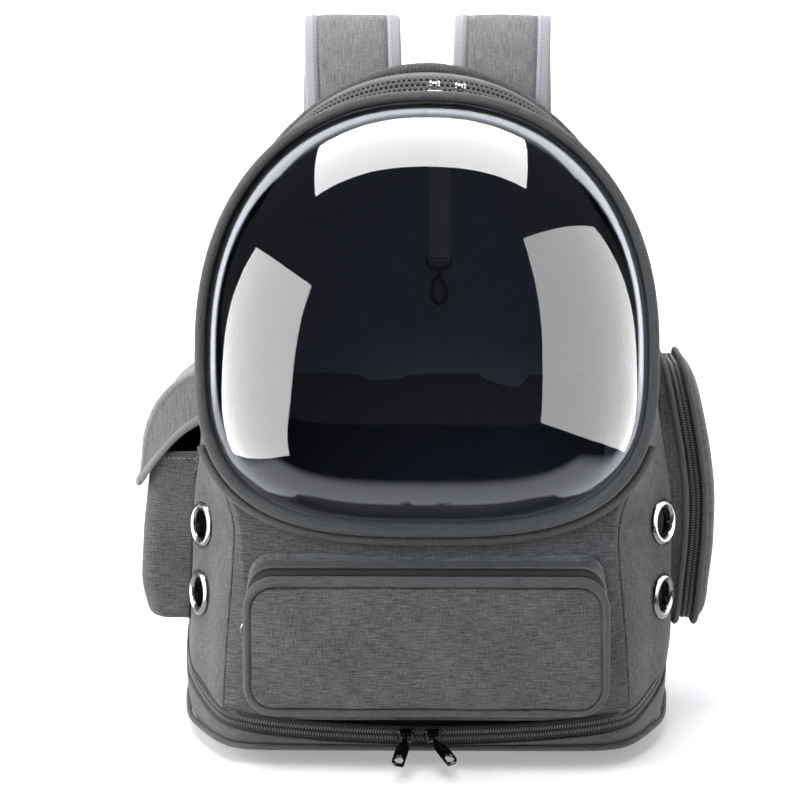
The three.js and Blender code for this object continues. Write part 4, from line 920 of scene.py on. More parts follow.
BODY_LIGHT, BODY_DARK = tone(112), tone(58)
FINISHES = {
    "body": (woven("heather cloth", HEATHER, BODY_LIGHT, BODY_DARK, 0.62 * MM, 0.12 * MM), "heather_fabric"),
    "body_warp": (
        woven("heather cloth on the warp", HEATHER, BODY_LIGHT, BODY_DARK, 0.62 * MM, 0.12 * MM, turned=True),
        "heather_fabric",
    ),
    "piping": (woven("bound edge", HEATHER, tone(106), tone(66), 0.55 * MM, 0.1 * MM, Fleck=0.7), "piping"),
    "strap": (
        woven("strap cloth", HEATHER, tone(160), tone(116), 0.6 * MM, 0.12 * MM, turned=True, Fleck=1.1),
        "strap_fabric",
    ),
    "pale": (
        woven("pale tape", RIBS, tone(200, 199, 206), tone(178, 177, 185), 0.9 * MM, 0.06 * MM),
        "pale_binding",
    ),
    "flap_tape": (
        woven("flap binding", RIBS, tone(166), tone(128), 1.0 * MM, 0.15 * MM, Slant=0.4),
        "pale_binding",
    ),
    "mesh": (woven("spacer mesh yarn", RIBS, tone(150), tone(108), 0.5 * MM, 0.1 * MM), "spacer_mesh"),
    "foam": (woven("foam under the mesh", HEATHER, tone(40), tone(24), 0.9 * MM, 0.2 * MM), "spacer_mesh"),
    "zip_tape": (woven("zip tape", RIBS, tone(58), tone(38), 0.8 * MM, 0.08 * MM, Slant=0.3), "zip_tape"),
    "coil": (hard("zip coil", tone(116), 0.0, 0.25, 0.4, size=900.0), "zip_tape"),
    "lining": (
        woven("lining", HEATHER, tone(176, 184, 206), tone(146, 154, 178), 0.4 * MM, 0.05 * MM, sheen=0.3),
        "lining",
    ),
    "dark_lining": (
        woven("dark lining", HEATHER, tone(92, 96, 108), tone(72, 75, 86), 0.4 * MM, 0.05 * MM),
        "lining",
    ),
    "webbing": (
        woven("webbing", RIBS, tone(176, 180, 188), tone(128, 132, 140), 1.1 * MM, 0.2 * MM, Slant=0.8),
        "webbing",
    ),
    # The tether is pale webbing. Its colour is set near white, above the webbing's own tone, as painted light
    # making up for the arch's shade where it hangs.
    "tether": (
        woven("tether webbing with painted light", RIBS, tone(252), tone(226), 1.1 * MM, 0.2 * MM, Slant=0.8),
        "webbing",
    ),
    "thread": (woven("grey thread", RIBS, tone(120), tone(92), 0.4 * MM, 0.05 * MM), "piping"),
    "light_thread": (woven("light thread", RIBS, tone(190), tone(160), 0.4 * MM, 0.05 * MM), "pale_binding"),
    "dome": (smoked_plastic(), "clear_bubble"),
    "nickel": (hard("black nickel", (0.035, 0.034, 0.036, 1), 1.0, 0.06, 0.22, size=300.0), "black_nickel"),
    "bright_nickel": (
        hard("bright nickel", (0.34, 0.335, 0.33, 1), 1.0, 0.14, 0.3, size=300.0),
        "black_nickel",
    ),
    "steel": (
        hard("eyelet steel", (0.25, 0.238, 0.23, 1), 1.0, 0.2, 0.36, size=260.0),
        "eyelet_steel",
    ),
    "plastic": (hard("buckle plastic", tone(34), 0.0, 0.35, 0.6, size=500.0), "buckle_plastic"),
}


# Body cloth


def flat_front(p):
    return (p.x, p.z)


def flat_side(p):
    return (p.y, p.z)


def front_outline():
    """The panel's right half outline, down its side and in along its foot, and the distance along it."""
    foot = foot_height(0, 1)
    heights = [lerp(SPRING_HEIGHT, foot, t / 60) for t in range(61)]
    edge = [Vector((half_width(z, 0, 1), 0, z)) for z in heights]
    bottom = [Vector((edge[-1].x * (1 - t / 40), 0, foot)) for t in range(1, 41)]
    return edge + bottom, lengths_along(edge + bottom)


def round_window():
    """Distances round a lower quarter of the window, as shares of it."""
    points = [Vector((*window_point(0.5 + 0.25 * k / 120, 0), 0)) for k in range(121)]
    lengths = lengths_along(points)
    return [length / lengths[-1] for length in lengths]


def corner_wrap(place, k):
    """Where the cloth of a place on the panel's edge has gone, k steps round the bag's corner."""
    side, x, z = place
    depth = seam_depth(z) * k / FRONT_WRAPS
    foot_share = x / half_width(z, 0, 1)
    bend = min(foot_share, 1) ** 14
    wide = half_width(z, depth, side) * foot_share
    low = (1 - bend) * 0.9 * MM * k
    return Vector((side * wide, lerp(front_y(z), BACK_Y, depth * bend), z - low))


def bowed(p):
    """A place on the panel, with the cloth under the window a little full."""
    bow = 0
    if p.z < FRAME_FOOT_Z:
        share = p.x / half_width(p.z, 0, 1)
        climb = max(p.z - BODY_FOOT, 0) / FRAME_FOOT_Z
        bow = FRONT_BOW * max(1 - share * share, 0) * math.sin(math.pi * climb)
    return Vector((p.x, front_y(p.z) - bow, p.z))


def panel_front():
    """The front panel round the window, its side edges turned round the bag's corners to their seams."""
    path, total = front_outline()
    shares = round_window()

    def on_edge(turn):
        """Where on the outline a lower turn of the window ends: its side, x and height."""
        side = -1 if turn < 0.75 else 1
        at = ((turn if side < 0 else 1.5 - turn) - 0.5) / 0.25 * 120
        k = min(int(at), 119)
        want = total[-1] * lerp(shares[k], shares[k + 1], at - k)
        i = next(i for i in range(len(total) - 1) if total[i + 1] >= want - 1e-9)
        t = (want - total[i]) / (total[i + 1] - total[i])
        p = path[i].lerp(path[i + 1], min(max(t, 0), 1))
        return side, p.x, p.z

    inner = window_ring(FLANGE_WIDTH + 1.5 * MM, 0)
    wraps = range(1, FRONT_WRAPS + 1)
    rings = [[] for _ in range(FRONT_ROWS + FRONT_WRAPS + 1)]
    for a, turn in zip(inner, WINDOW_TURNS):
        if turn < 0.5:
            flat = arch_point(1 - 2 * turn, 0)
            around = [arch_point(1 - 2 * turn, CORNER_SEAM[1] * k / FRONT_WRAPS) for k in wraps]
        else:
            place = on_edge(turn)
            flat = Vector((place[0] * place[1], front_y(place[2]), place[2]))
            around = [corner_wrap(place, k) for k in wraps]
        column = [bowed(a.lerp(flat, r / FRONT_ROWS)) for r in range(FRONT_ROWS + 1)] + around
        for ring, p in zip(rings, column):
            ring.append(p)
    bm = loft(rings, around=True, measure=flat_front, inside=CABIN)
    softened = [v for v in bm.verts if not v.is_boundary and v.co.z < 0.21 and abs(v.co.x) > 0.6 * HALF_WIDTH]
    level = {"use_axis_x": True, "use_axis_y": True, "use_axis_z": False}
    for _ in range(14):
        bmesh.ops.smooth_vert(bm, verts=softened, factor=0.5, **level)
    rumpled(bm, 0.7 * MM, 45 * MM, 3, lambda p: eased_step((FRAME_FOOT_Z - p.z) / 0.02))
    return piece("front_cloth", bm, "body", "body_front", thick=CLOTH, soft_edge=SEAM_ROUND)


def panel_side(side):
    """A side panel from the corner seam to the back edge, with its eyelet holes."""
    name = "left" if side < 0 else "right"
    rows, columns = 84, 78
    rings = []
    for r in range(rows + 1):
        climb = r / rows
        ring = []
        for c in range(columns + 1):
            share = (c / columns) ** 1.25
            depth = lerp(seam_depth(lerp(0.02, SIDE_SEAM_Z, climb)) + SEAM_SHARE, 1, share)
            z = lerp(foot_height(depth, side), SIDE_SEAM_Z, climb)
            ring.append(side_point(z, depth, side))
        rings.append(ring)
    bm = loft(rings, measure=flat_side, inside=CABIN)
    rumpled(bm, 0.9 * MM, 40 * MM, 5 + side)
    for sign, depth, height in EYELETS.values():
        if sign != side:
            continue
        at, _ = eyelet_place(side, depth, height)
        hole = [f for f in bm.faces if (f.calc_center_median() - at).length < EYELET_HOLE + 2.4 * MM]
        bmesh.ops.delete(bm, geom=hole, context="FACES")
    return piece(f"side_cloth_{name}", bm, "body_warp", f"body_{name}", thick=CLOTH, soft_edge=SEAM_ROUND)


def eyelet_place(side, depth, height):
    """Where an eyelet sits, and which way it faces."""
    back = side_point(height, depth + 0.05, side) - side_point(height, depth - 0.05, side)
    up = side_point(height + 12 * MM, depth, side) - side_point(height - 12 * MM, depth, side)
    facing = back.cross(up).normalized()
    if facing.x * side < 0:
        facing.negate()
    return side_point(height, depth, side), facing


def panel_top():
    """The arched top from the window to the back."""
    columns, rows = 120, 44
    rings = []
    for r in range(rows + 1):
        depth = lerp(CORNER_SEAM[1], 1, (r / rows) ** 1.2)
        arch = [arch_point(t, depth) for t in even_arch(depth, columns + 1)]
        heights = [lerp(SIDE_SEAM_Z + SEAT_GAP, SPRING_HEIGHT, k / 3) for k in range(3)]
        left = [side_point(z, depth, -1) for z in heights]
        right = [side_point(z, depth, 1) for z in reversed(heights)]
        rings.append(left + arch + right)
    bm = loft(rings, inside=CABIN)
    rumpled(bm, 0.6 * MM, 50 * MM, 9)
    return piece("top_cloth", bm, "body", "body_top", thick=CLOTH)


# Base


def tray_top(x, y):
    return zip_height(x, y) - ZIP_BAND / 2 - 0.2 * MM


def base_pieces():
    wall = [
        base_ring(BASE_TAPER + 10 * MM, 0.4 * MM),
        base_ring(BASE_TAPER + 2 * MM, 0.3 * MM),
        base_ring(BASE_TAPER * 0.72, 1.4 * MM),
        base_ring(BASE_TAPER * 0.55, 3.6 * MM),
    ]
    for k in range(1, 11):
        t = k / 10
        swell = 0.9 * MM * math.sin(math.pi * t)
        inset = lerp(BASE_TAPER * 0.5, 0, t) - swell
        wall.append(base_ring(inset, lambda x, y, t=t: lerp(4 * MM, tray_top(x, y), t)))
    inside = [
        base_ring(CLOTH, tray_top),
        base_ring(CLOTH + BASE_TAPER * 0.5, 4.4 * MM),
        base_ring(60 * MM, 4.4 * MM),
    ]
    bm = loft(wall + inside, around=True, capped=True)
    piece("tray_cloth", bm, "body", "base_tray")
    half = ZIP_BAND / 2
    lines = []
    for across, out in ((-1, 0), (-1, TAPE), (-0.5, TAPE), (0.5, TAPE), (1, TAPE), (1, 0)):
        lines.append(base_ring(CLOTH - out, lambda x, y, a=across * half: zip_height(x, y) + a))
    bm = loft(lines, around=True, along=True)
    piece("base_zip_tape", bm, "zip_tape", "base_zip")
    middle = base_ring(CLOTH - TAPE - 0.5 * MM, lambda x, y: zip_height(x, y))
    coil_teeth("base_zip_coil", middle, base_out, 2.1 * MM, closed=True)
    for name, across in (("upper", half - 1.6 * MM), ("lower", -half + 1.3 * MM)):
        line = base_ring(CLOTH - TAPE - 0.1 * MM, lambda x, y, a=across: zip_height(x, y) + a)
        stitched(f"base_zip_stitch_{name}", line, base_out, "thread", closed=True, width=0.35 * MM)
    cord = []
    for k in range(10):
        angle = 2 * math.pi * k / 10
        inset = BASE_TAPER * 0.6 - BASE_PIPING - SEAT_GAP + BASE_PIPING * math.cos(angle)
        cord.append(base_ring(inset, BASE_PIPING + 0.3 * MM + BASE_PIPING * math.sin(angle)))
    piece("base_bound_edge", loft(cord, around=True, along=True), "piping", "base_piping")


# Window


def dome_rings(inset, rise):
    """Rings from the dome's foot to its crown, closer where it bends more."""
    rings = []
    for k in range(DOME_ROWS + 1):
        share = math.sin(math.pi / 2 * (1 - k / DOME_ROWS)) ** 0.8
        if k == 0:
            share = 1
        curve = max(1 - share ** BUBBLE_POWER[0], 0) ** (1 / BUBBLE_POWER[1])
        rings.append(window_ring(inset, SEAT_GAP + rise * curve, share))
    return rings


def window_pieces():
    outside = dome_rings(FLANGE_WIDTH, BUBBLE_RISE)
    outside[0] = window_ring(FLANGE_WIDTH - 0.5 * MM, SEAT_GAP + FLANGE)
    outside[1:1] = [window_ring(FLANGE_WIDTH, SEAT_GAP + FLANGE + 0.9 * MM)]
    rings = list(reversed(outside)) + [window_ring(2 * MM, SEAT_GAP + FLANGE)]
    bm = loft(rings, around=True, inside=CABIN)
    piece("dome", bm, "dome", "bubble_window", thick=FLANGE)
    low = FLANGE + 2 * SEAT_GAP
    high = low + BINDING_DEPTH
    section = [
        (1.2 * MM, low - 2.2 * MM), (0.2 * MM, low), (0, low + 1.6 * MM), (0.1 * MM, high - 2.4 * MM),
        (0.9 * MM, high - 0.9 * MM), (2.2 * MM, high), (4.2 * MM, high), (5.6 * MM, high - 0.8 * MM),
        (6.4 * MM, high - 2.2 * MM), (BINDING_WIDTH, low + 1 * MM), (BINDING_WIDTH, low),
    ]
    bm = loft([window_ring(inset, out) for inset, out in section], around=True, along=True)
    piece("window_bound_frame", bm, "piping", "window_binding")
    stitched("window_frame_stitch", window_ring(3.3 * MM, high + 0.1 * MM), WINDOW_OUT, "thread", closed=True)
    path = []
    for i in range(61):
        sunk = eased_step(min(1, math.sin(math.pi * (i / 60)) * 2))
        x, z = window_point(lerp(0.56, 0.94, i / 60), -FRAME_PIPING - SEAT_GAP)
        path.append(Vector((x, window_y(z) - lerp(-FRAME_PIPING * 0.4, FRAME_PIPING * 0.7, sunk), z)))
    bm = loft(tube_rings(evenly(path, 150), FRAME_PIPING, 14), around=True, capped=True)
    piece("window_under_piping", bm, "piping", "window_piping")


# Top of the bag behind the window


def arch_behind(turn, behind, grow):
    """A point on the arch at a distance behind the window's plane."""
    z = arch_point(turn, 0.2).z
    depth = behind / (BACK_Y - front_y(z))
    return arch_point(turn, depth, grow)


def arch_out(p):
    x = p.x / half_width(SPRING_HEIGHT, 0.1, 1)
    z = max(p.z - SPRING_HEIGHT, 0) / (FRONT_TOP - SPRING_HEIGHT)
    power = ARCH_POWER[0] - 1
    return Vector((math.copysign(abs(x) ** power, x), 0, z**power + 1e-4)).normalized()


def turns_above(lowest, count):
    """Turns from the left to the right of the arch above a height."""
    turns = [t for t in even_arch(0.1, 400) if arch_point(t, 0.1).z > lowest]
    return [turns[round(k * (len(turns) - 1) / (count - 1))] for k in range(count)]


def top_pieces():
    half = TOP_ZIP_WIDTH / 2
    turns = turns_above(SPRING_HEIGHT + 2 * MM, 120)
    lines = []
    for across, lift in ((-half, 0), (-half, TAPE), (half, TAPE), (half, 0)):
        lines.append([arch_behind(t, TOP_ZIP_BACK + across, SEAT_GAP + lift) for t in turns])
    bm = loft(lines, along=True, capped=True)
    piece("top_zip_tape", bm, "zip_tape", "top_zip")
    middle = [arch_behind(t, TOP_ZIP_BACK, SEAT_GAP + TAPE + 0.4 * MM) for t in turns]
    coil_teeth("top_zip_coil", middle, arch_out, 1.9 * MM)
    mesh_turns = turns_above(FRONT_TOP - MESH_DROP, 3)
    low = lerp(mesh_turns[0], mesh_turns[-1], MESH_TRIM)
    high = lerp(mesh_turns[0], mesh_turns[-1], 1 - MESH_TRIM)

    def on_arch(across, back, lift):
        far = BACK_Y - FRONT_TOP_Y - MESH_EDGE + CUSHION_SLOPE - CUSHION_RUN
        along = lerp(TOP_ZIP_BACK + MESH_EDGE, far, back)
        climb = min(max((along - CUSHION_START) / CUSHION_SLOPE, 0), 1)
        past = max(along - CUSHION_START - CUSHION_SLOPE, 0)
        behind = min(along, CUSHION_START) + climb * CUSHION_RUN + past
        fall = 1 - 0.9 * eased_step((behind - CUSHION_FALL[0]) / CUSHION_FALL[1])
        crown = eased_step(climb) * fall * max(math.sin(math.pi * across), 0) ** 0.7
        return arch_behind(lerp(low, high, across), behind, lift + CUSHION * crown)

    piece("top_mesh_net", net(on_arch, 215 * MM, 140 * MM, MESH_PITCH, 1.1 * MM), "mesh", "top_mesh")
    backing = [[on_arch(i / 60, j / 60, 0.5 * MM) for i in range(61)] for j in range(61)]
    piece("top_mesh_foam", loft(backing, inside=CABIN), "foam", thick=0.4 * MM)


def net(place, width, height, pitch, lift):
    """A net of staggered holes: bricks of cloth, each with its middle taken out and the rim turned in."""
    columns, rows = round(width / pitch), round(height / pitch)
    bm = bmesh.new()
    bmesh.ops.create_grid(bm, x_segments=columns * 2, y_segments=rows, size=0.5)
    cloth = bm.loops.layers.uv.new("cloth")
    joins = []
    for edge in bm.edges:
        a, b = edge.verts[0].co, edge.verts[1].co
        if abs(a.x - b.x) > 1e-6 or edge.is_boundary:
            continue
        i = round((a.x + 0.5) * columns * 2)
        j = int(((a.y + b.y) / 2 + 0.5) * rows)
        if (i + j) % 2 == 0:
            joins.append(edge)
    bmesh.ops.dissolve_edges(bm, edges=joins, use_verts=False, use_face_split=False)
    shares = {v: (v.co.x + 0.5, v.co.y + 0.5) for v in bm.verts}
    for v, (a, b) in shares.items():
        v.co = Vector((a * width, b * height, 0))
    even = {"use_even_offset": True}
    yarn = set(bmesh.ops.inset_individual(bm, faces=bm.faces, thickness=pitch * 0.15, **even)["faces"])
    floors = [f for f in bm.faces if f not in yarn]
    bmesh.ops.inset_individual(bm, faces=floors, thickness=pitch * 0.07, **even)
    sunk = {v for f in floors for v in f.verts}
    bmesh.ops.delete(bm, geom=floors, context="FACES_ONLY")
    for face in bm.faces:
        for loop in face.loops:
            loop[cloth].uv = loop.vert.co.xy
    for v in bm.verts:
        a, b = v.co.x / width, v.co.y / height
        v.co = place(min(max(a, 0), 1), min(max(b, 0), 1), lift * (0.2 if v in sunk else 1))
    turned_out(bm, CABIN)
    return bm


# Eyelets


def eyelet_pieces():
    lift = 1.2 * MM
    back = -CLOTH - lift
    profile = [
        (EYELET_HOLE, back - 1.2 * MM), (EYELET_RADIUS - 1.4 * MM, back - 1.2 * MM),
        (EYELET_RADIUS - 1 * MM, back - 0.6 * MM), (EYELET_RADIUS - 1 * MM, back),
        (EYELET_HOLE + 1.2 * MM, back), (EYELET_HOLE + 1.2 * MM, 0),
        (EYELET_RADIUS, 0), (EYELET_RADIUS, 0.35 * MM), (EYELET_RADIUS - 0.5 * MM, 1.1 * MM),
        (EYELET_RADIUS - 1.5 * MM, 1.8 * MM), (EYELET_RADIUS - 2.8 * MM, 2.1 * MM),
        (EYELET_HOLE + 1.4 * MM, 1.8 * MM),
        (EYELET_HOLE + 0.4 * MM, 0.9 * MM), (EYELET_HOLE, -0.4 * MM),
    ]
    for name, (side, depth, height) in EYELETS.items():
        at, facing = eyelet_place(side, depth, height)
        turn = facing.to_track_quat("Z", "Y").to_matrix()
        rings = []
        for r, h in profile:
            ring = []
            for k in range(48):
                angle = 2 * math.pi * k / 48
                ring.append(at + turn @ Vector((r * math.cos(angle), r * math.sin(angle), h + lift * 0.4)))
            rings.append(ring)
        bm = loft(rings, around=True, along=True)
        piece(name.replace("eyelet", "steel_eyelet"), bm, "steel", name)


# Front pocket


def pocket_ring(inset, out, share=1.0):
    flare = 1 - min(max(out / POCKET_DEPTH, 0), 1)
    half = POCKET_HALF_WIDTH + flare * POCKET_FLARE
    high = POCKET_HIGH + flare * POCKET_TOP_FLARE
    middle = (POCKET_LOW + high) / 2
    ring = []
    for x, z in rounded((-half, POCKET_LOW), (half, high), (POCKET_RADIUS, POCKET_RADIUS), inset, 12, 24):
        z = lerp(middle, z, share)
        lift = POCKET_TOP_LIFT * flare * eased_step((z - 0.085) / 0.035)
        ring.append(Vector((x * share, front_y(z) - out, z + lift)))
    return ring


def pocket_pieces():
    rings = [pocket_ring(POCKET_EDGE, POCKET_DEPTH * t) for t in (-0.02, 0.15, 0.3, 0.45, 0.6, 0.75, 0.88)]
    rings.append(pocket_ring(POCKET_EDGE, POCKET_DEPTH - 1.4 * MM))
    rings.append(pocket_ring(POCKET_EDGE + 0.5 * MM, POCKET_DEPTH - 0.5 * MM))
    for k in range(1, 19):
        share = math.cos(math.pi / 2 * k / 18) ** 0.8 if k < 18 else 0.0
        crown = POCKET_SWELL * (1 - share**5)
        rings.append(pocket_ring(POCKET_EDGE + 1.1 * MM, POCKET_DEPTH - 0.2 * MM + crown, share))
    bm = loft(rings, around=True, measure=flat_front, inside=Vector((0, -0.1, 0.07)))
    rumpled(bm, 0.8 * MM, 30 * MM, 2)
    piece("front_pocket_cloth", bm, "body", "front_pocket", thick=1.5 * MM)
    cord = []
    for k in range(12):
        angle = 2 * math.pi * k / 12
        inset = POCKET_PIPING + POCKET_PIPING * math.cos(angle)
        out = POCKET_DEPTH - POCKET_PIPING - 0.4 * MM + POCKET_PIPING * math.sin(angle)
        cord.append(pocket_ring(inset, out))
    piece("front_pocket_bound_edge", loft(cord, around=True, along=True), "piping", "front_pocket_piping")
    middle = POCKET_DEPTH * 0.42
    keep = POCKET_HIGH - POCKET_RADIUS - 8 * MM
    half = POCKET_ZIP_WIDTH / 2
    kept = [i for i, p in enumerate(pocket_ring(POCKET_EDGE, middle)) if p.z > keep]

    def strip(lift, across):
        ring = pocket_ring(POCKET_EDGE - SEAT_GAP - lift, middle + across)
        return [ring[i] for i in kept]

    section = ((-half, 0), (-half, 0.9 * MM), (half, 0.9 * MM), (half, 0))
    tape = [strip(lift, across) for across, lift in section]
    piece("front_pocket_zip_tape", loft(tape, along=True, capped=True), "zip_tape", "front_pocket_zip")

    def pocket_out(p):
        centre = Vector((max(min(p.x, 0.09), -0.09), p.y, (POCKET_LOW + POCKET_HIGH) / 2))
        return (p - centre).normalized()

    at = min(pocket_ring(POCKET_EDGE, middle), key=lambda p: abs(p.z - POCKET_PULL_Z) + max(p.x, 0))
    loop = through([at + Vector((x * MM - 3 * MM, -2 * MM, z * MM)) for x, z in POCKET_PULL], 40, True)
    pull = loft(tube_rings(loop, 0.7 * MM, 8, True), around=True, along=True)
    piece("front_pocket_zip_loop", pull, "bright_nickel")
    line = strip(1.5 * MM, 0)
    coil_teeth("front_pocket_zip_coil", line, pocket_out, 1.5 * MM, length=2.4 * MM, pitch=1.5 * MM)
    line = pocket_ring(POCKET_EDGE - 0.2 * MM, POCKET_DEPTH - 6.5 * MM)
    stitched("front_pocket_stitch", line, pocket_out, closed=True)


# Side pockets


def side_line(z, side):
    return half_width(max(z, 0.48 * FRAME_FOOT_Z), 0.6, side)


def bottle_ring(climb, inset):
    z = lerp(SIDE_LOW, BOTTLE_TOP, climb)
    face = side_line(z, -1) + eased(BOTTLE_LINE, climb) * SIDE_OUT
    front, back = SIDE_FRONT_Y + POCKET_CLOTH, SIDE_BACK_Y - POCKET_CLOTH
    near = -face + SIDE_OUT + 22 * MM
    ring = rounded((-face, front), (near, back), (12 * MM, 12 * MM), inset, 8, 14)
    return [Vector((x, y, z)) for x, y in ring]


def bottle_pieces():
    foot = [(0.06, 26), (0.055, 12), (0.06, 5), (0.075, 1.6)]
    rings = [bottle_ring(climb, inset * MM) for climb, inset in foot]
    rings += [bottle_ring(lerp(0.1, 1, k / 28), 0) for k in range(29)]
    bm = loft(rings, around=True, inside=Vector((-0.16, 0.02, 0.12)))
    for v in bm.verts:
        limit = -half_width(v.co.z, 0.5, -1) + 3 * MM
        if v.co.x > limit:
            v.co.x = limit
    bmesh.ops.remove_doubles(bm, verts=bm.verts, dist=1e-6)
    rumpled(bm, 1.2 * MM, 32 * MM, 11, lambda p: min(max((p.z - SIDE_LOW) / 0.03, 0), 1))
    piece("bottle_pocket_cloth", bm, "body", "bottle_pocket", thick=POCKET_CLOTH)
    hem = [p for p in bottle_ring(0.965, -0.3 * MM) if p.x < -side_line(BOTTLE_TOP, -1) - 1 * MM]
    start = max(range(len(hem)), key=lambda i: (hem[i] - hem[i - 1]).length)
    hem = hem[start:] + hem[:start]

    def hem_out(p):
        return Vector((p.x + 0.16, (p.y - 0.02) * 0.6, 0))

    stitched("bottle_pocket_stitch", hem, hem_out, "light_thread")


def flap_outline(inset=0.0):
    """The flap's outer line seen from the front, from its root over the top down to its tip."""
    drop = FLAP_TOP - FLAP_TIP
    points = [Vector((-half_width(FLAP_TOP, 0.5, -1) + 4 * MM, 0, FLAP_TOP - inset))]
    for share, out in FLAP_LINE:
        z = FLAP_TOP - share * drop
        x = -(side_line(z, -1) + out * SIDE_OUT - inset)
        points.append(Vector((x, 0, z - (inset if share < 0.1 else 0))))
    return through(points, 48)


def flap_pieces():
    outline = flap_outline()
    tip = outline[-1]
    root = Vector((-(side_line(FLAP_ROOT_LOW, -1) - 6 * MM), 0, FLAP_ROOT_LOW + 4 * MM))

    def lower_edge(t):
        return root.lerp(tip, t) + Vector((0, 0, 8 * MM * math.sin(math.pi * t) ** 1.2 * (1 - 0.3 * t)))

    total = lengths_along(outline)
    edge_line = [lower_edge((s / total[-1]) ** 0.9) for s in total]

    def cheek(y, share, tuck):
        row = []
        for p, q in zip(outline, edge_line):
            inward = q - p
            shift = min(tuck, inward.length)
            start = p + inward.normalized() * shift if inward.length > 1e-6 else p
            spot = Vector((0, y, 0)) + start.lerp(q, share)
            back = (y - SIDE_FRONT_Y) / (SIDE_BACK_Y - SIDE_FRONT_Y)
            spot.z -= FLAP_SLOPE * (0.35 + 0.65 * back) * max(spot.z - FLAP_TIP, 0) / (FLAP_TOP - FLAP_TIP)
            row.append(spot)
        return row

    face = (1, 0.85, 0.7, 0.55, 0.4, 0.28, 0.16, 0.08, 0)
    turned = ((0.6, 3.2), (1.6, 1.6), (3.2, 0.6), (5.5, 0.1))  # the edge's distance in, and its tuck, in mm
    rings = [cheek(SIDE_FRONT_Y + 1.2 * MM * (1 - s), s, 5 * MM) for s in face]
    rings += [cheek(SIDE_FRONT_Y + y * MM, 0, tuck * MM) for y, tuck in turned]
    for k in range(1, 24):
        rings.append(cheek(lerp(SIDE_FRONT_Y + 5.5 * MM, SIDE_BACK_Y - 5.5 * MM, k / 24), 0, 0))
    rings += [cheek(SIDE_BACK_Y - y * MM, 0, tuck * MM) for y, tuck in reversed(turned)]
    rings += [cheek(SIDE_BACK_Y - 1.2 * MM * (1 - s), s, 5 * MM) for s in reversed(face)]
    bm = loft(rings, inside=Vector((-0.15, 0.02, 0.2)))
    rumpled(bm, 1.0 * MM, 36 * MM, 21)
    piece("bottle_flap_cloth", bm, "strap", "bottle_flap", thick=POCKET_CLOTH)
    path = []
    for k in range(9):
        spot = lower_edge(k / 9.5)
        spot.z -= FLAP_SLOPE * 0.35 * (spot.z - FLAP_TIP) / (FLAP_TOP - FLAP_TIP)
        path.append(spot + Vector((0, SIDE_FRONT_Y + 0.8 * MM, 0)))
    path.append(tip + Vector((0.5 * MM, SIDE_FRONT_Y + 5 * MM, 0)))
    path.append(tip + Vector((0, 20 * MM, -1 * MM)))
    path.append(tip + Vector((0.5 * MM, SIDE_BACK_Y - 5 * MM, 0)))
    for k in reversed(range(9)):
        spot = lower_edge(k / 9.5)
        spot.z -= FLAP_SLOPE * (spot.z - FLAP_TIP) / (FLAP_TOP - FLAP_TIP)
        path.append(spot + Vector((0, SIDE_BACK_Y - 0.8 * MM, 0)))
    path = through(path, 150)
    rings = []
    for p, ring in zip(path, tube_rings(path, FLAP_BINDING, 14)):
        rings.append([Vector((q.x, q.y, p.z + (q.z - p.z) * 1.5 + 1 * MM)) for q in ring])
    piece("bottle_flap_bound_edge", loft(rings, around=True, capped=True), "flap_tape", "flap_binding")


def cargo_ring(inset, out, share=1.0):
    ring = []
    middle = ((SIDE_FRONT_Y + SIDE_BACK_Y) / 2, (SIDE_LOW + CARGO_TOP) / 2)
    for y, z in rounded((SIDE_FRONT_Y, SIDE_LOW), (SIDE_BACK_Y, CARGO_TOP), CARGO_RADII, inset, 14, 16):
        y, z = lerp(middle[0], y, share), lerp(middle[1], z, share)
        sink = CARGO_SINK * (1 - eased_step((z - SIDE_LOW) / CARGO_SINK_RUN))
        ring.append(Vector((side_line(z, 1) + out - sink, y, z)))
    return ring


def cargo_out(p):
    middle = Vector((p.x, 0.02, lerp(SIDE_LOW, CARGO_TOP, 0.5)))
    out = p - middle
    out.z *= 0.6
    return out.normalized()


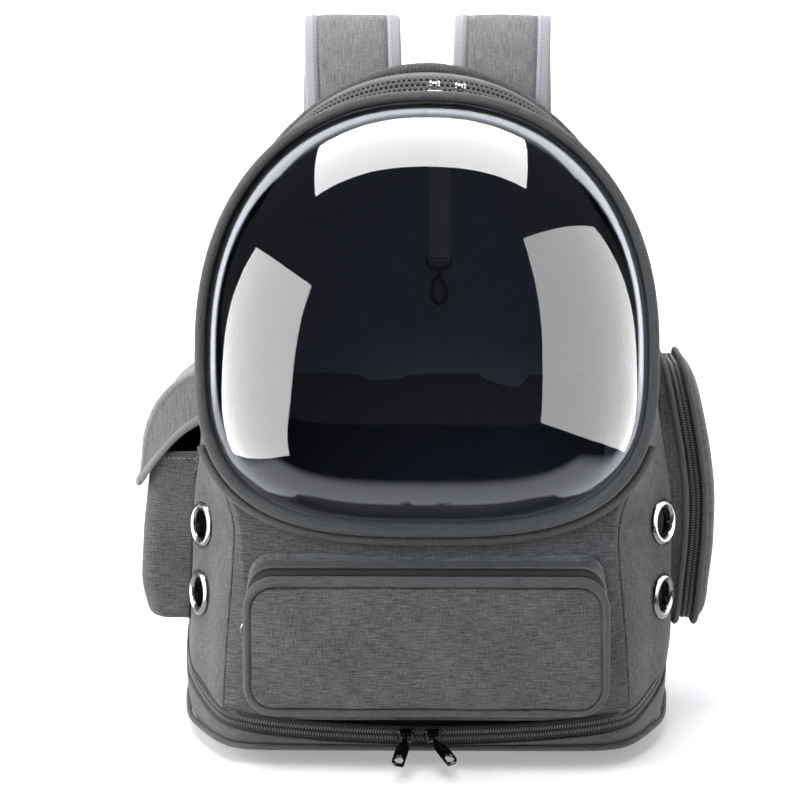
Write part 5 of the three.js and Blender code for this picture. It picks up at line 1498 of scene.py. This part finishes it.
def cargo_pieces():
    edge = 2 * CARGO_PIPING + SEAT_GAP
    inner = Vector((0.17, 0.02, 0.15))
    rings = [cargo_ring(edge, out * MM) for out in (-15, -11, -7, -3, 0, 3, 6, 9, 11)]
    bm = loft(rings, around=True, inside=inner)
    rumpled(bm, 0.5 * MM, 30 * MM, 31)
    piece("cargo_gusset_cloth", bm, "body", "cargo_gusset", thick=POCKET_CLOTH)
    foot = CARGO_GUSSET + CARGO_ZIP + SEAT_GAP
    rings = [cargo_ring(edge, foot)]
    turn_in = 16 * MM
    for k in range(9):
        angle = math.pi / 2 * k / 8
        out = lerp(foot + 2 * MM, CARGO_OUT - 3 * MM, math.sin(angle))
        rings.append(cargo_ring(edge + turn_in * (1 - math.cos(angle)), out))
    for k in range(1, 17):
        share = 1 - k / 16
        rings.append(cargo_ring(edge + turn_in, CARGO_OUT - 3 * MM + 0.8 * MM * (1 - share**3), share))
    bm = loft(rings, around=True, measure=flat_side, inside=inner)
    rumpled(bm, 0.9 * MM, 34 * MM, 33)
    piece("cargo_cover_cloth", bm, "body", "cargo_cover", thick=POCKET_CLOTH)
    for name, out, node in (
        ("inner", CARGO_GUSSET - CARGO_PIPING, "cargo_piping_inner"),
        ("outer", CARGO_GUSSET + CARGO_ZIP + CARGO_PIPING, "cargo_piping_outer"),
    ):
        cord = []
        for k in range(10):
            angle = 2 * math.pi * k / 10
            inset = CARGO_PIPING + CARGO_PIPING * math.cos(angle)
            cord.append(cargo_ring(inset, out + CARGO_PIPING * math.sin(angle)))
        piece(f"cargo_bound_edge_{name}", loft(cord, around=True, along=True), "piping", node)
    half = CARGO_ZIP / 2
    middle = CARGO_GUSSET + SEAT_GAP + half
    tape = []
    for across, lift in ((-half, 0), (-half, TAPE), (half, TAPE), (half, 0)):
        tape.append(cargo_ring(edge + POCKET_CLOTH - lift, middle + across))
    piece("cargo_zip_tape", loft(tape, around=True, along=True), "zip_tape", "cargo_zip")
    line = cargo_ring(edge + POCKET_CLOTH - TAPE - 0.5 * MM, middle)
    coil_teeth("cargo_zip_coil", line, cargo_out, 1.7 * MM, closed=True, length=2.8 * MM)


# Back of the bag

BACK_FACE_Y = BACK_Y + SEAT_GAP
BACK_REAR_Y = BACK_FACE_Y + BACK_PANEL


def back_ring(inset, y):
    """The bag's back outline drawn in, from its lower right corner up and over to its lower left."""
    foot = zip_height(0, BACK_Y) + ZIP_BAND / 2 + SEAT_GAP + max(inset, 0)
    ring = []
    heights = [lerp(foot, SPRING_HEIGHT, k / 26) for k in range(26)]
    ring += [Vector((half_width(z, 1, -1) - inset, y, z)) for z in heights]
    ring += [arch_point(1 - t, 1, -inset) for t in even_arch(1, 81)]
    ring += [Vector((-half_width(z, 1, -1) + inset, y, z)) for z in reversed(heights)]
    for p in ring:
        p.y = y
    return ring


def back_pieces():
    def closed_ring(inset, y):
        ring = back_ring(inset, y)
        low, high = ring[0], ring[-1]
        return ring + [high.lerp(low, k / 40) for k in range(1, 40)]

    rows = [
        (1.5 * MM, BACK_FACE_Y), (0.5 * MM, BACK_FACE_Y + 2 * MM), (0.3 * MM, BACK_REAR_Y - 5 * MM),
        (1.4 * MM, BACK_REAR_Y - 2.4 * MM), (4 * MM, BACK_REAR_Y - 0.8 * MM),
        (10 * MM, BACK_REAR_Y - 0.2 * MM),
    ]
    rings = [closed_ring(inset, y) for inset, y in rows]
    centre = Vector((0, 0, 0.22))
    for k in range(1, 13):
        share = 1 - k / 12
        ring = []
        for p in rings[5]:
            ring.append(Vector((p.x * share, BACK_REAR_Y, lerp(centre.z, p.z, share))))
        rings.append(ring)
    front = []
    for k in range(0, 12):
        share = k / 12
        front.append([Vector((p.x * share, BACK_FACE_Y, lerp(centre.z, p.z, share))) for p in rings[0]])
    bm = rumpled(loft(front + rings, around=True), 0.7 * MM, 50 * MM, 41)
    piece("back_panel_cloth", bm, "body_warp", "back_panel")
    outline = back_ring(-BACK_ROLL - SEAT_GAP + 0.5 * MM, BACK_FACE_Y + BACK_ROLL)
    path = evenly([p for p in outline if p.z > SPRING_HEIGHT * 1.15], 240)
    bm = loft(tube_rings(path, BACK_ROLL, 20), around=True, capped=True)
    middle = Vector((0, BACK_FACE_Y + BACK_ROLL, SPRING_HEIGHT))
    for v in bm.verts:
        crease = noise.noise(Vector((v.co.x * 160, v.co.z * 160, 3)))
        crease += 0.6 * noise.noise(Vector((v.co.x * 420, v.co.z * 420, 7)))
        v.co += (v.co - middle).normalized() * (0.35 * MM * crease)
    piece("back_roll_cloth", bm, "body", "back_roll")
    low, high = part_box("back_pad")
    rings = []
    for inset, out in BACK_PAD_EDGE:
        ring = rounded((low[0], low[2]), (high[0], high[2]), (BACK_PAD_RADIUS,) * 2, inset * MM, 14, 20)
        rings.append([Vector((x, BACK_REAR_Y + SEAT_GAP + out * MM, z)) for x, z in ring])
    middle = Vector((0, 0, (low[2] + high[2]) / 2))
    for k in range(1, 15):
        share = 1 - k / 14
        row = []
        for p in rings[len(BACK_PAD_EDGE) - 1]:
            x, z = p.x * share, lerp(middle.z, p.z, share)
            groove = BACK_PAD_GROOVE[0] * math.exp(-((x / BACK_PAD_GROOVE[1]) ** 2))
            row.append(Vector((x, BACK_REAR_Y + SEAT_GAP + BACK_PAD_CROWN - groove, z)))
        rings.append(row)
    bm = loft(rings, around=True, measure=flat_front, inside=Vector((0, 0.1, 0.2)))
    piece("back_pad_cushion", bm, "foam", "back_pad")


# Straps


def strap_line():
    root_y = BACK_REAR_Y + SEAT_GAP + STRAP_THICKNESS / 2
    points = []
    for back, up in STRAP_LINE:
        points.append(Vector((0, root_y + back * STRAP_REACH, lerp(STRAP_END_Z, STRAP_TOP_Z, up))))
    return through(points, 111)


STRAP_PATH = strap_line()
STRAP_OUT = [Vector((0, -way.z, way.y)).normalized() for way in tangents(STRAP_PATH)]


def strap_place(i, share, lift, sign):
    """A point of the strap: the i-th along its line, a share across from its inner edge, lifted out of it."""
    t = i / (len(STRAP_PATH) - 1)
    p, normal = STRAP_PATH[i], STRAP_OUT[i]
    width = lerp(STRAP_WIDTH, STRAP_END_WIDTH, eased_step((t - 0.45) / 0.55))
    x = sign * (STRAP_X + STRAP_SPREAD * t + (share - 0.5) * width)
    return Vector((x, p.y + normal.y * lift, p.z + normal.z * lift))


def strap_row(share, lift, sign):
    return [strap_place(i, share, lift, sign) for i in range(len(STRAP_PATH))]


def strap_skin(section, sign):
    """The strap's line with a section of (share, lift) drawn along it."""
    rings = [[strap_place(i, share, lift, sign) for share, lift in section] for i in range(len(STRAP_PATH))]
    return loft(rings, around=True, capped=True)


def strap_pieces(sign):
    side = "left" if sign < 0 else "right"
    low, high = STRAP_BINDING_SHARE, 1 - STRAP_BINDING_SHARE
    half = STRAP_THICKNESS / 2
    section = []
    for k in range(13):
        t = k / 12
        section.append((lerp(low, high, t), half * (0.72 + 0.28 * math.sin(math.pi * t) ** 0.5)))
    section += [(share, -lift) for share, lift in reversed(section)]
    bm = rumpled(strap_skin(section, sign), 0.4 * MM, 28 * MM, 51 + sign)
    piece(f"strap_{side}_cloth", bm, "strap", f"strap_{side}")
    for edge, outer, seam in (("inner", 0, low), ("outer", 1, high)):
        section = []
        for k in range(9):
            angle = math.pi * k / 8
            reach = 0.22 * math.sin(angle)
            share = lerp(seam, outer, 0.8 + reach * 0.9)
            section.append((share, half * 0.78 * math.cos(angle)))
        section = [(seam, half * 0.92), (lerp(seam, outer, 0.4), half * 0.86)] + section
        section += [(lerp(seam, outer, 0.4), -half * 0.86), (seam, -half * 0.92)]
        piece(f"strap_{side}_{edge}_tape", strap_skin(section, sign), "pale", f"strap_{side}_{edge}_binding")
        for name, face in (("back", -1), ("front", 1)):
            line = strap_row(lerp(seam, outer, 0.3), face * half * 0.92, sign)

            def out(p, face=face, line=line):
                i = min(range(0, len(line), 2), key=lambda i: (line[i] - p).length_squared)
                return STRAP_OUT[i] * face

            stitched(f"strap_{side}_{edge}_stitch_{name}", line, out, width=0.4 * MM)


def webbing_pieces(sign):
    side = "left" if sign < 0 else "right"
    end = STRAP_PATH[-1]
    foot = Vector((0, BASE_BACK_Y + SEAT_GAP + WEBBING / 2, WEBBING_FOOT_Z))
    path = through([
        Vector((0, end.y, end.z - SEAT_GAP)),
        Vector((0, lerp(end.y, foot.y, 0.3), lerp(end.z, foot.z, 0.33))),
        Vector((0, lerp(end.y, foot.y, 0.75), lerp(end.z, foot.z, 0.62))),
        Vector((0, foot.y + 1 * MM, foot.z + WEBBING_WIDTH * 0.7)),
        foot,
    ], 61)
    ways = tangents(path)
    rings = []
    for p, way in zip(path, ways):
        share = min(max((STRAP_END_Z - p.z) / (STRAP_END_Z - WEBBING_FOOT_Z), 0), 1)
        x = sign * lerp(STRAP_X + STRAP_SPREAD, WEBBING_FOOT_X, share)
        normal = Vector((0, -way.z, way.y)).normalized()
        ring = []
        for across, lift in WEBBING_SECTION:
            q = p + normal * (lift * WEBBING)
            ring.append(Vector((x + across * WEBBING_WIDTH, q.y, q.z)))
        rings.append(ring)
    piece(f"webbing_{side}_band", loft(rings, around=True, capped=True), "webbing", f"webbing_{side}")


# Cabin: lining, tether and hook


def cabin_pieces():
    low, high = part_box("cabin_liner")
    rings = []
    for up in range(31):
        row = []
        for across in range(61):
            x = lerp(low[0], high[0], across / 60)
            wave = 0.8 * MM * math.sin(x * 60) + 0.4 * MM * math.sin(x * 170 + 1)
            z = lerp(low[2], high[2] - 9 * MM + wave, up / 30)
            fold = 1.2 * MM * math.sin(math.pi * up / 30) * (1 + 0.4 * math.sin(x * 150))
            row.append(Vector((x, high[1] - 1 * MM - fold, z)))
        rings.append(row)
    bm = loft(rings, measure=flat_front, inside=Vector((0, 0.3, 0.15)))
    piece("cabin_low_lining", bm, "dark_lining", "cabin_liner", thick=0.8 * MM)
    inset, power = 6 * MM, ARCH_POWER[1]
    rings = []
    for up in range(33):
        row = []
        z = lerp(50 * MM, BACK_TOP - inset, up / 32)
        half = half_width(min(z, SPRING_HEIGHT), 1, -1) - inset
        if z > SPRING_HEIGHT:
            share = max(1 - ((z - SPRING_HEIGHT) / (BACK_TOP - SPRING_HEIGHT)) ** power, 0)
            half *= share ** (1 / power)
        for across in range(81):
            x = half * (2 * across / 80 - 1)
            fold = 0.6 * MM * math.sin(x * 70 + 0.6) + 0.5 * MM * noise.noise(Vector((x * 30, z * 8, 5)))
            row.append(Vector((x, BACK_FACE_Y - 1.0 * MM + fold * 0.4 - 0.3 * MM, z)))
        rings.append(row)
    bm = loft(rings, measure=flat_front, inside=Vector((0, 0.3, 0.15)))
    piece("cabin_back_lining", bm, "lining", thick=0.3 * MM)
    floor = [base_ring(CLOTH + 4 * MM, 12 * MM), base_ring(CLOTH + 6 * MM, 14 * MM)]
    for k in range(1, 9):
        ring = []
        for p in base_ring(CLOTH + 6 * MM, 14 * MM):
            ring.append(Vector((p.x * (1 - k / 8), p.y * (1 - k / 8), 14 * MM)))
        floor.append(ring)
    piece("cabin_floor_mat", loft(floor, around=True, inside=Vector((0, 0, -1))), "dark_lining", thick=1 * MM)
    low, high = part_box("tether_webbing")
    rings = []
    for k in range(61):
        z = lerp(high[2], low[2], k / 60)
        sewn = 1.0 if z > low[2] + 0.013 else 1.7
        ring = []
        for across, lift in TETHER_SECTION:
            y = high[1] - 0.8 * MM - lift * WEBBING * sewn
            ring.append(Vector((lerp(low[0], high[0], across), y, z)))
        rings.append(ring)
    piece("tether_band", loft(rings, around=True, capped=True), "tether", "tether_webbing")
    hook_at = Vector(((low[0] + high[0]) / 2, low[1] + 0.6 * MM, low[2]))
    swivel = [hook_at + Vector((x * MM, -1.5 * MM, z * MM)) for x, z in TETHER_RING]
    rings = tube_rings(through(swivel, 48, True), 1.1 * MM, 10, True)
    piece("tether_ring", loft(rings, around=True, along=True), "nickel")
    hook = [hook_at + Vector((x * MM, -1.5 * MM, z * MM)) for x, z in TETHER_HOOK]
    bm = loft(tube_rings(through(hook, 80), 1.4 * MM, 12), around=True, capped=True)
    piece("tether_snap_hook", bm, "nickel", "tether_hook")


# Zip sliders and pull tabs

SLIDER = (11 * MM, 9 * MM, 2.8 * MM)
SLIDER_SIDE = [  # how far in and how high, in mm
    (3.4, 0), (0.9, 0), (0.3, 0.15), (0, 0.5), (0.3, 0.85), (1.1, 1.0),
    (1.2, 1.7), (0.6, 1.9), (0.4, 2.3), (0.9, 2.7), (1.8, 2.8), (3.4, 2.8),
]
BAR = 0.8 * MM
HOOD = (math.radians(32), math.radians(-92))  # how far it goes round the eye, and where it starts
EYE = 2.4 * MM
EYE_HOLE = 1.2 * MM
EYE_LENGTH = 3.6 * MM
LUG = 1.4 * MM
BAR_HEIGHT = SLIDER[2] + EYE + SEAT_GAP + 0.1 * MM
BASE_TAB = (33 * MM, 9 * MM, 1.8 * MM)
TOP_TAB = (22 * MM, 6 * MM, 1.5 * MM)
TOP_TAB_REST = 77
BASE_TAB_CLEAR = 2 * MM  # from the floor to the middle of a resting tab's tip


def spun(profile, cuts, angle=2 * math.pi, start=0.0):
    """A profile of (x, radius) turned round the X axis, from the +Z side towards -Y."""
    bm = bmesh.new()
    verts = [bm.verts.new((x, 0, r)) for x, r in profile]
    edges = [bm.edges.new((a, b)) for a, b in zip(verts, verts[1:] + verts[:1])]
    bmesh.ops.rotate(bm, cent=(0, 0, 0), matrix=Matrix.Rotation(start, 3, "X"), verts=verts)
    full = angle >= 2 * math.pi
    way = {"cent": (0, 0, 0), "axis": (1, 0, 0), "angle": angle}
    bmesh.ops.spin(bm, geom=verts + edges, steps=cuts, use_merge=full, **way)
    if not full:
        bmesh.ops.holes_fill(bm, edges=[e for e in bm.edges if e.is_boundary], sides=0)
    bmesh.ops.recalc_face_normals(bm, faces=bm.faces)
    return bm


def joined(*parts):
    """Several bmeshes as one."""
    bm = bmesh.new()
    mesh = bpy.data.meshes.new("part")
    for part in parts:
        part.to_mesh(mesh)
        part.free()
        bm.from_mesh(mesh)
    bpy.data.meshes.remove(mesh)
    return bm


def slider_body(hooded):
    """A slider: two plates with a waist, two round cheeks, the bar, and a hood over the eye if asked."""
    half = (SLIDER[0] / 2, SLIDER[1] / 2)
    rings = []
    for inset, z in SLIDER_SIDE:
        ring = rounded((-half[0], -half[1]), half, (3 * MM, 3 * MM), inset * MM, 6, 5)
        rings.append([Vector((a, b, z * MM)) for a, b in ring])
    plates = loft(rings, around=True, capped=True)
    lug = EYE_LENGTH / 2 + SEAT_GAP
    reach = EYE + 0.9 * MM
    parts = [plates]
    for sign in (-1, 1):
        near, far = sign * lug, sign * (lug + LUG)
        profile = [
            (near, 0.05 * MM), (near, reach - 0.3 * MM), (lerp(near, far, 0.2), reach),
            (lerp(near, far, 0.7), reach - 0.2 * MM), (far, reach - 1.0 * MM), (far, 0.05 * MM),
        ]
        parts.append(spun(profile, 28))
    end = lug + 0.4 * MM
    parts.append(spun([(-end, 0.02 * MM), (-end, BAR), (end, BAR), (end, 0.02 * MM)], 16))
    if hooded:
        end = lug + 0.5 * MM
        profile = [
            (-end, EYE + SEAT_GAP), (-end, reach - 0.1 * MM), (-lug * 0.5, reach + 0.25 * MM),
            (lug * 0.5, reach + 0.25 * MM), (end, reach - 0.1 * MM), (end, EYE + SEAT_GAP),
        ]
        parts.append(spun(profile, 12, *HOOD))
    for part in parts[1:]:
        bmesh.ops.translate(part, vec=(0, 0, BAR_HEIGHT), verts=part.verts)
    return joined(*parts)


def tab_body(length, width, thickness, splay):
    """A pull tab that hangs from its eye along -Z, with a drop-shaped window near its slanted tip."""
    half = width / 2
    neck = [(0.34, -EYE * 0.75 / length), (0.34, -EYE * 1.8 / length)]
    corners = [*neck, (1, -0.35), (1, -0.86), (0.55, -0.965), (-1, -1), (-1, -0.35)]
    corners += [(-a, b) for a, b in reversed(neck)]
    hole = [(0.5, -0.73), (0.56, -0.84), (-0.1, -0.925), (-0.6, -0.9), (-0.5, -0.74), (0, -0.66)]
    if splay > 0:
        corners, hole = ([(-a, b) for a, b in reversed(line)] for line in (corners, hole))
    count = 60
    hole = through([Vector((a * half, 0, b * length)) for a, b in hole], count, closed=True)
    edge = evenly([Vector((a * half, 0, b * length)) for a, b in corners], count, closed=True)
    for _ in range(2):
        edge = [(edge[i - 1] + edge[i] * 2 + edge[(i + 1) % count]) / 4 for i in range(count)]
    middle = sum(hole, Vector()) / count

    def by_turn(ring):
        """The same ring, starting at its point straight below the window's middle."""
        off = [abs(p.x - middle.x) + (0 if p.z < middle.z else 1) for p in ring]
        start = off.index(min(off))
        ring = ring[start:] + ring[:start]
        turn = sum((a - middle).cross(b - middle).y for a, b in zip(ring, ring[1:]))
        return ring if turn > 0 else [ring[0], *reversed(ring[1:])]

    hole, edge = by_turn(hole), by_turn(edge)

    def between(share, lift):
        return [a.lerp(b, share) + Vector((0, lift * thickness, 0)) for a, b in zip(hole, edge)]

    face = [(0, 0.4), (0.08, 0.62), (0.2, 0.62), (0.3, 0.42), (0.9, 0.42), (1, 0.2)]
    rings = [between(0, -0.4)]
    rings += [between(share, lift) for share, lift in face]
    rings += [between(share, -lift) for share, lift in reversed(face[1:])]
    plate = loft(rings, around=True, along=True)
    sideways = Matrix.Rotation(math.radians(splay), 3, "Y")
    bmesh.ops.rotate(plate, cent=(0, 0, 0), matrix=sideways, verts=plate.verts)
    reach = EYE_LENGTH / 2
    profile = [
        (-reach, EYE_HOLE + 0.2 * MM), (-reach, EYE - 0.35 * MM), (-reach + 0.4 * MM, EYE),
        (reach - 0.4 * MM, EYE), (reach, EYE - 0.35 * MM), (reach, EYE_HOLE + 0.2 * MM), (0, EYE_HOLE),
    ]
    return joined(plate, spun(profile, 28))


def slider_pieces():
    for name, tab, splay in (
        ("base_left", BASE_TAB, 10),
        ("base_right", BASE_TAB, -24),
        ("top_left", TOP_TAB, 0),
        ("top_right", TOP_TAB, 0),
    ):
        joint = next(j for j in frame["joints"] if j["name"] == f"{name}_swing")
        pivot, bar = Vector(joint["pos_m"]), Vector(joint["axis"]).normalized()
        base = name.startswith("base")
        facing = Vector((0, -1, 0)) if base else Vector((-bar.z, 0, bar.x))
        place = Matrix((bar, facing.cross(bar), facing)).transposed().to_4x4()
        body = slider_body(base)
        seat = Matrix.Translation(pivot - facing * BAR_HEIGHT) @ place
        bmesh.ops.transform(body, matrix=seat, verts=body.verts)
        metal = "nickel" if base else "bright_nickel"
        piece(f"{name}_slider_body", body, metal, f"{name}_slider")
        drop = math.degrees(math.asin((pivot.z - BASE_TAB_CLEAR) / tab[0])) if base else 0
        turn = -(90 - drop) if base else TOP_TAB_REST
        pull = tab_body(*tab, splay)
        level = Vector((1, 0, 0)).rotation_difference(bar).to_matrix().to_4x4()
        swing = Matrix.Translation(pivot) @ Matrix.Rotation(math.radians(turn), 4, bar) @ level
        bmesh.ops.transform(pull, matrix=swing, verts=pull.verts)
        piece(f"{name}_pull_tab", pull, metal, f"{name}_tab", body=f"{name}_pull")


# Everything

panel_front()
for side in (-1, 1):
    panel_side(side)
panel_top()
base_pieces()
window_pieces()
top_pieces()
eyelet_pieces()
pocket_pieces()
bottle_pieces()
flap_pieces()
cargo_pieces()
back_pieces()
for sign in (-1, 1):
    strap_pieces(sign)
    webbing_pieces(sign)
cabin_pieces()
slider_pieces()
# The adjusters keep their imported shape.
for name in ("adjuster_left", "adjuster_right"):
    frame["nodes"][name].data.materials.clear()
    frame["nodes"][name].data.materials.append(FINISHES["plastic"][0])


# Stage and lights

SWEEP_GLOW = 0.3
TABLE_GLOW = 1.4  # of the white table as the dome shows it
SKY = (0.09, 0.08, 2.4)  # strength on cloth, and in reflections from the front and from behind the bag

# The corners are low left, low right, high left and high right, as the dome shows them, then the strength.
REFLECTORS = {
    "panel top": (
        [(-0.34, -0.17, 0.75), (0.28, -0.17, 0.75), (-0.28, 0.15, 0.75), (0.24, 0.15, 0.75)],
        17.0,
    ),
    "panel left": (
        [(-0.36, 0.04, 0.06), (-0.36, -0.35, 0.02), (-0.36, -0.08, 0.46), (-0.36, -0.45, 0.55)],
        12.0,
    ),
    "panel right": (
        [(0.36, -0.57, 0.2), (0.36, 0.09, 0.06), (0.36, -0.46, 0.78), (0.36, -0.04, 0.5)],
        8.5,
    ),
}
# Where each stands and points, its width and height, and its watts.
SOFTBOXES = {
    "softbox top": ((-0.3, -0.8, 1.9), (0, -0.05, 0.3), 1.0, 0.8, 22),
    "softbox left": ((-1.7, -0.7, 1.0), (0, -0.05, 0.25), 0.8, 1.1, 21),
    "softbox right": ((1.7, -0.9, 0.9), (0, -0.05, 0.25), 0.6, 1.0, 1),
    "backdrop light": ((0, 0.9, 2.2), (0, 2.0, 0.6), 2.4, 0.8, 40),
}


def sweep():
    """A pale floor that turns up into a backdrop."""
    profile = [(-3.0, 0), (1.1, 0), (1.5, 0.03), (1.85, 0.16), (2.1, 0.4), (2.2, 0.8), (2.2, 3.0)]
    line = through([Vector((0, y, z)) for y, z in profile], 60)
    bm = loft([[Vector((x, p.y, p.z)) for x in (-4, 4)] for p in line], inside=Vector((0, 1, -3)))
    mesh = bpy.data.meshes.new("sweep")
    bm.to_mesh(mesh)
    bm.free()
    for polygon in mesh.polygons:
        polygon.use_smooth = True
    floor = bpy.data.objects.new("sweep", mesh)
    bpy.context.scene.collection.objects.link(floor)
    material, n, shader = blank("white sweep")
    place = n.add("ShaderNodeTexCoord").outputs["Object"]
    shade = n.mix(n.noise(place, 3.0), (0.93, 0.935, 0.95, 1), (0.9, 0.905, 0.92, 1))
    n.tree.links.new(shade, shader.inputs["Base Color"])
    shader.inputs["Roughness"].default_value = 0.6
    shader.inputs["Emission Color"].default_value = (1, 1, 1, 1)
    shader.inputs["Emission Strength"].default_value = SWEEP_GLOW
    # In reflections only a white table shows, and a dark studio round it.
    parts = n.add("ShaderNodeSeparateXYZ", {0: place})
    behind = n.math("MULTIPLY", n.math("MAXIMUM", parts.outputs[1], 0.0), 1.1)
    beside = n.math("SUBTRACT", n.math("ABSOLUTE", parts.outputs[0]), behind)
    inside = n.add("ShaderNodeMapRange", {0: beside, 1: 0.5, 2: 0.36, 3: 0.0, 4: 1.0}).outputs[0]
    front = n.add("ShaderNodeMapRange", {0: parts.outputs[1], 1: -0.3, 2: -0.24, 3: 0.0, 4: 1.0}).outputs[0]
    far = n.add("ShaderNodeMapRange", {0: parts.outputs[1], 1: 0.6, 2: 1.4, 3: 1.0, 4: 2.2}).outputs[0]
    lit = n.math("MULTIPLY", n.math("MULTIPLY", inside, front), far)
    glow = n.math("MULTIPLY", lit, TABLE_GLOW)
    table = n.add("ShaderNodeEmission", {"Color": (0.93, 0.95, 1, 1), "Strength": glow})
    path = n.add("ShaderNodeLightPath")
    ways = {0: path.outputs["Is Glossy Ray"], 1: shader.outputs[0], 2: table.outputs[0]}
    both = n.add("ShaderNodeMixShader", ways)
    n.tree.links.new(both.outputs[0], material.node_tree.nodes["Material Output"].inputs["Surface"])
    material.cycles.emission_sampling = "NONE"
    mesh.materials.append(material)


def reflector(name, corners, strength):
    """A bright panel that only shows in reflections."""
    bm = bmesh.new()
    bmesh.ops.create_grid(bm, x_segments=1, y_segments=1, size=1)
    for v in bm.verts:
        v.co = corners[(1 if v.co.x > 0 else 0) + (2 if v.co.y > 0 else 0)]
    mesh = bpy.data.meshes.new(name)
    bm.to_mesh(mesh)
    bm.free()
    panel = bpy.data.objects.new(name, mesh)
    bpy.context.scene.collection.objects.link(panel)
    material = bpy.data.materials.new(name)
    material.use_nodes = True
    material.cycles.emission_sampling = "NONE"  # found by reflected rays only, or the dome shows it twice
    n = Nodes(material.node_tree)
    # Only the dome's outer face shows the panels: what has passed through the dome sees none of them.
    passed = n.math("MINIMUM", n.add("ShaderNodeLightPath").outputs["Transmission Depth"], 1.0)
    seen = n.math("MULTIPLY", n.math("SUBTRACT", 1.0, passed), strength)
    glow = n.add("ShaderNodeEmission", {"Color": (1, 1, 1, 1), "Strength": seen})
    n.tree.links.new(glow.outputs[0], material.node_tree.nodes["Material Output"].inputs["Surface"])
    mesh.materials.append(material)
    for kind in ("camera", "diffuse", "transmission", "volume_scatter", "shadow"):
        setattr(panel, f"visible_{kind}", False)


def softbox(name, at, target, width, height, watts):
    """A lamp that lights the cloth and isn't seen in it or in the dome."""
    data = bpy.data.lights.new(name, "AREA")
    data.shape = "RECTANGLE"
    data.size, data.size_y = width, height
    data.energy = watts
    light = bpy.data.objects.new(name, data)
    bpy.context.scene.collection.objects.link(light)
    light.location = at
    light.rotation_euler = (Vector(target) - Vector(at)).to_track_quat("-Z", "Y").to_euler()
    light.visible_glossy = False
    light.visible_transmission = False
    light.visible_camera = False


sweep()
for name, (corners, strength) in REFLECTORS.items():
    reflector(name, corners, strength)
for name, setting in SOFTBOXES.items():
    softbox(name, *setting)

world = bpy.data.worlds.new("studio")
bpy.context.scene.world = world
world.use_nodes = True
sky = Nodes(world.node_tree)
background = world.node_tree.nodes["Background"]
facing = sky.add("ShaderNodeSeparateXYZ", {0: sky.add("ShaderNodeTexCoord").outputs["Generated"]}).outputs[1]
rim = sky.add("ShaderNodeMapRange", {0: facing, 1: 0.5, 2: 0.7, 3: SKY[1], 4: SKY[2]}).outputs[0]
glossy = sky.add("ShaderNodeLightPath").outputs["Is Glossy Ray"]
level = sky.add("ShaderNodeMix", {0: glossy, 2: SKY[0], 3: rim}, data_type="FLOAT").outputs[0]
background.inputs["Color"].default_value = (0.92, 0.95, 1.0, 1)
world.node_tree.links.new(level, background.inputs["Strength"])

scene = bpy.context.scene
scene.view_settings.view_transform = "Standard"
scene.view_settings.look = "None"
scene.cycles.use_denoising = True
scene.cycles.max_bounces = 12
scene.cycles.transmission_bounces = 8
scene.cycles.transparent_max_bounces = 12
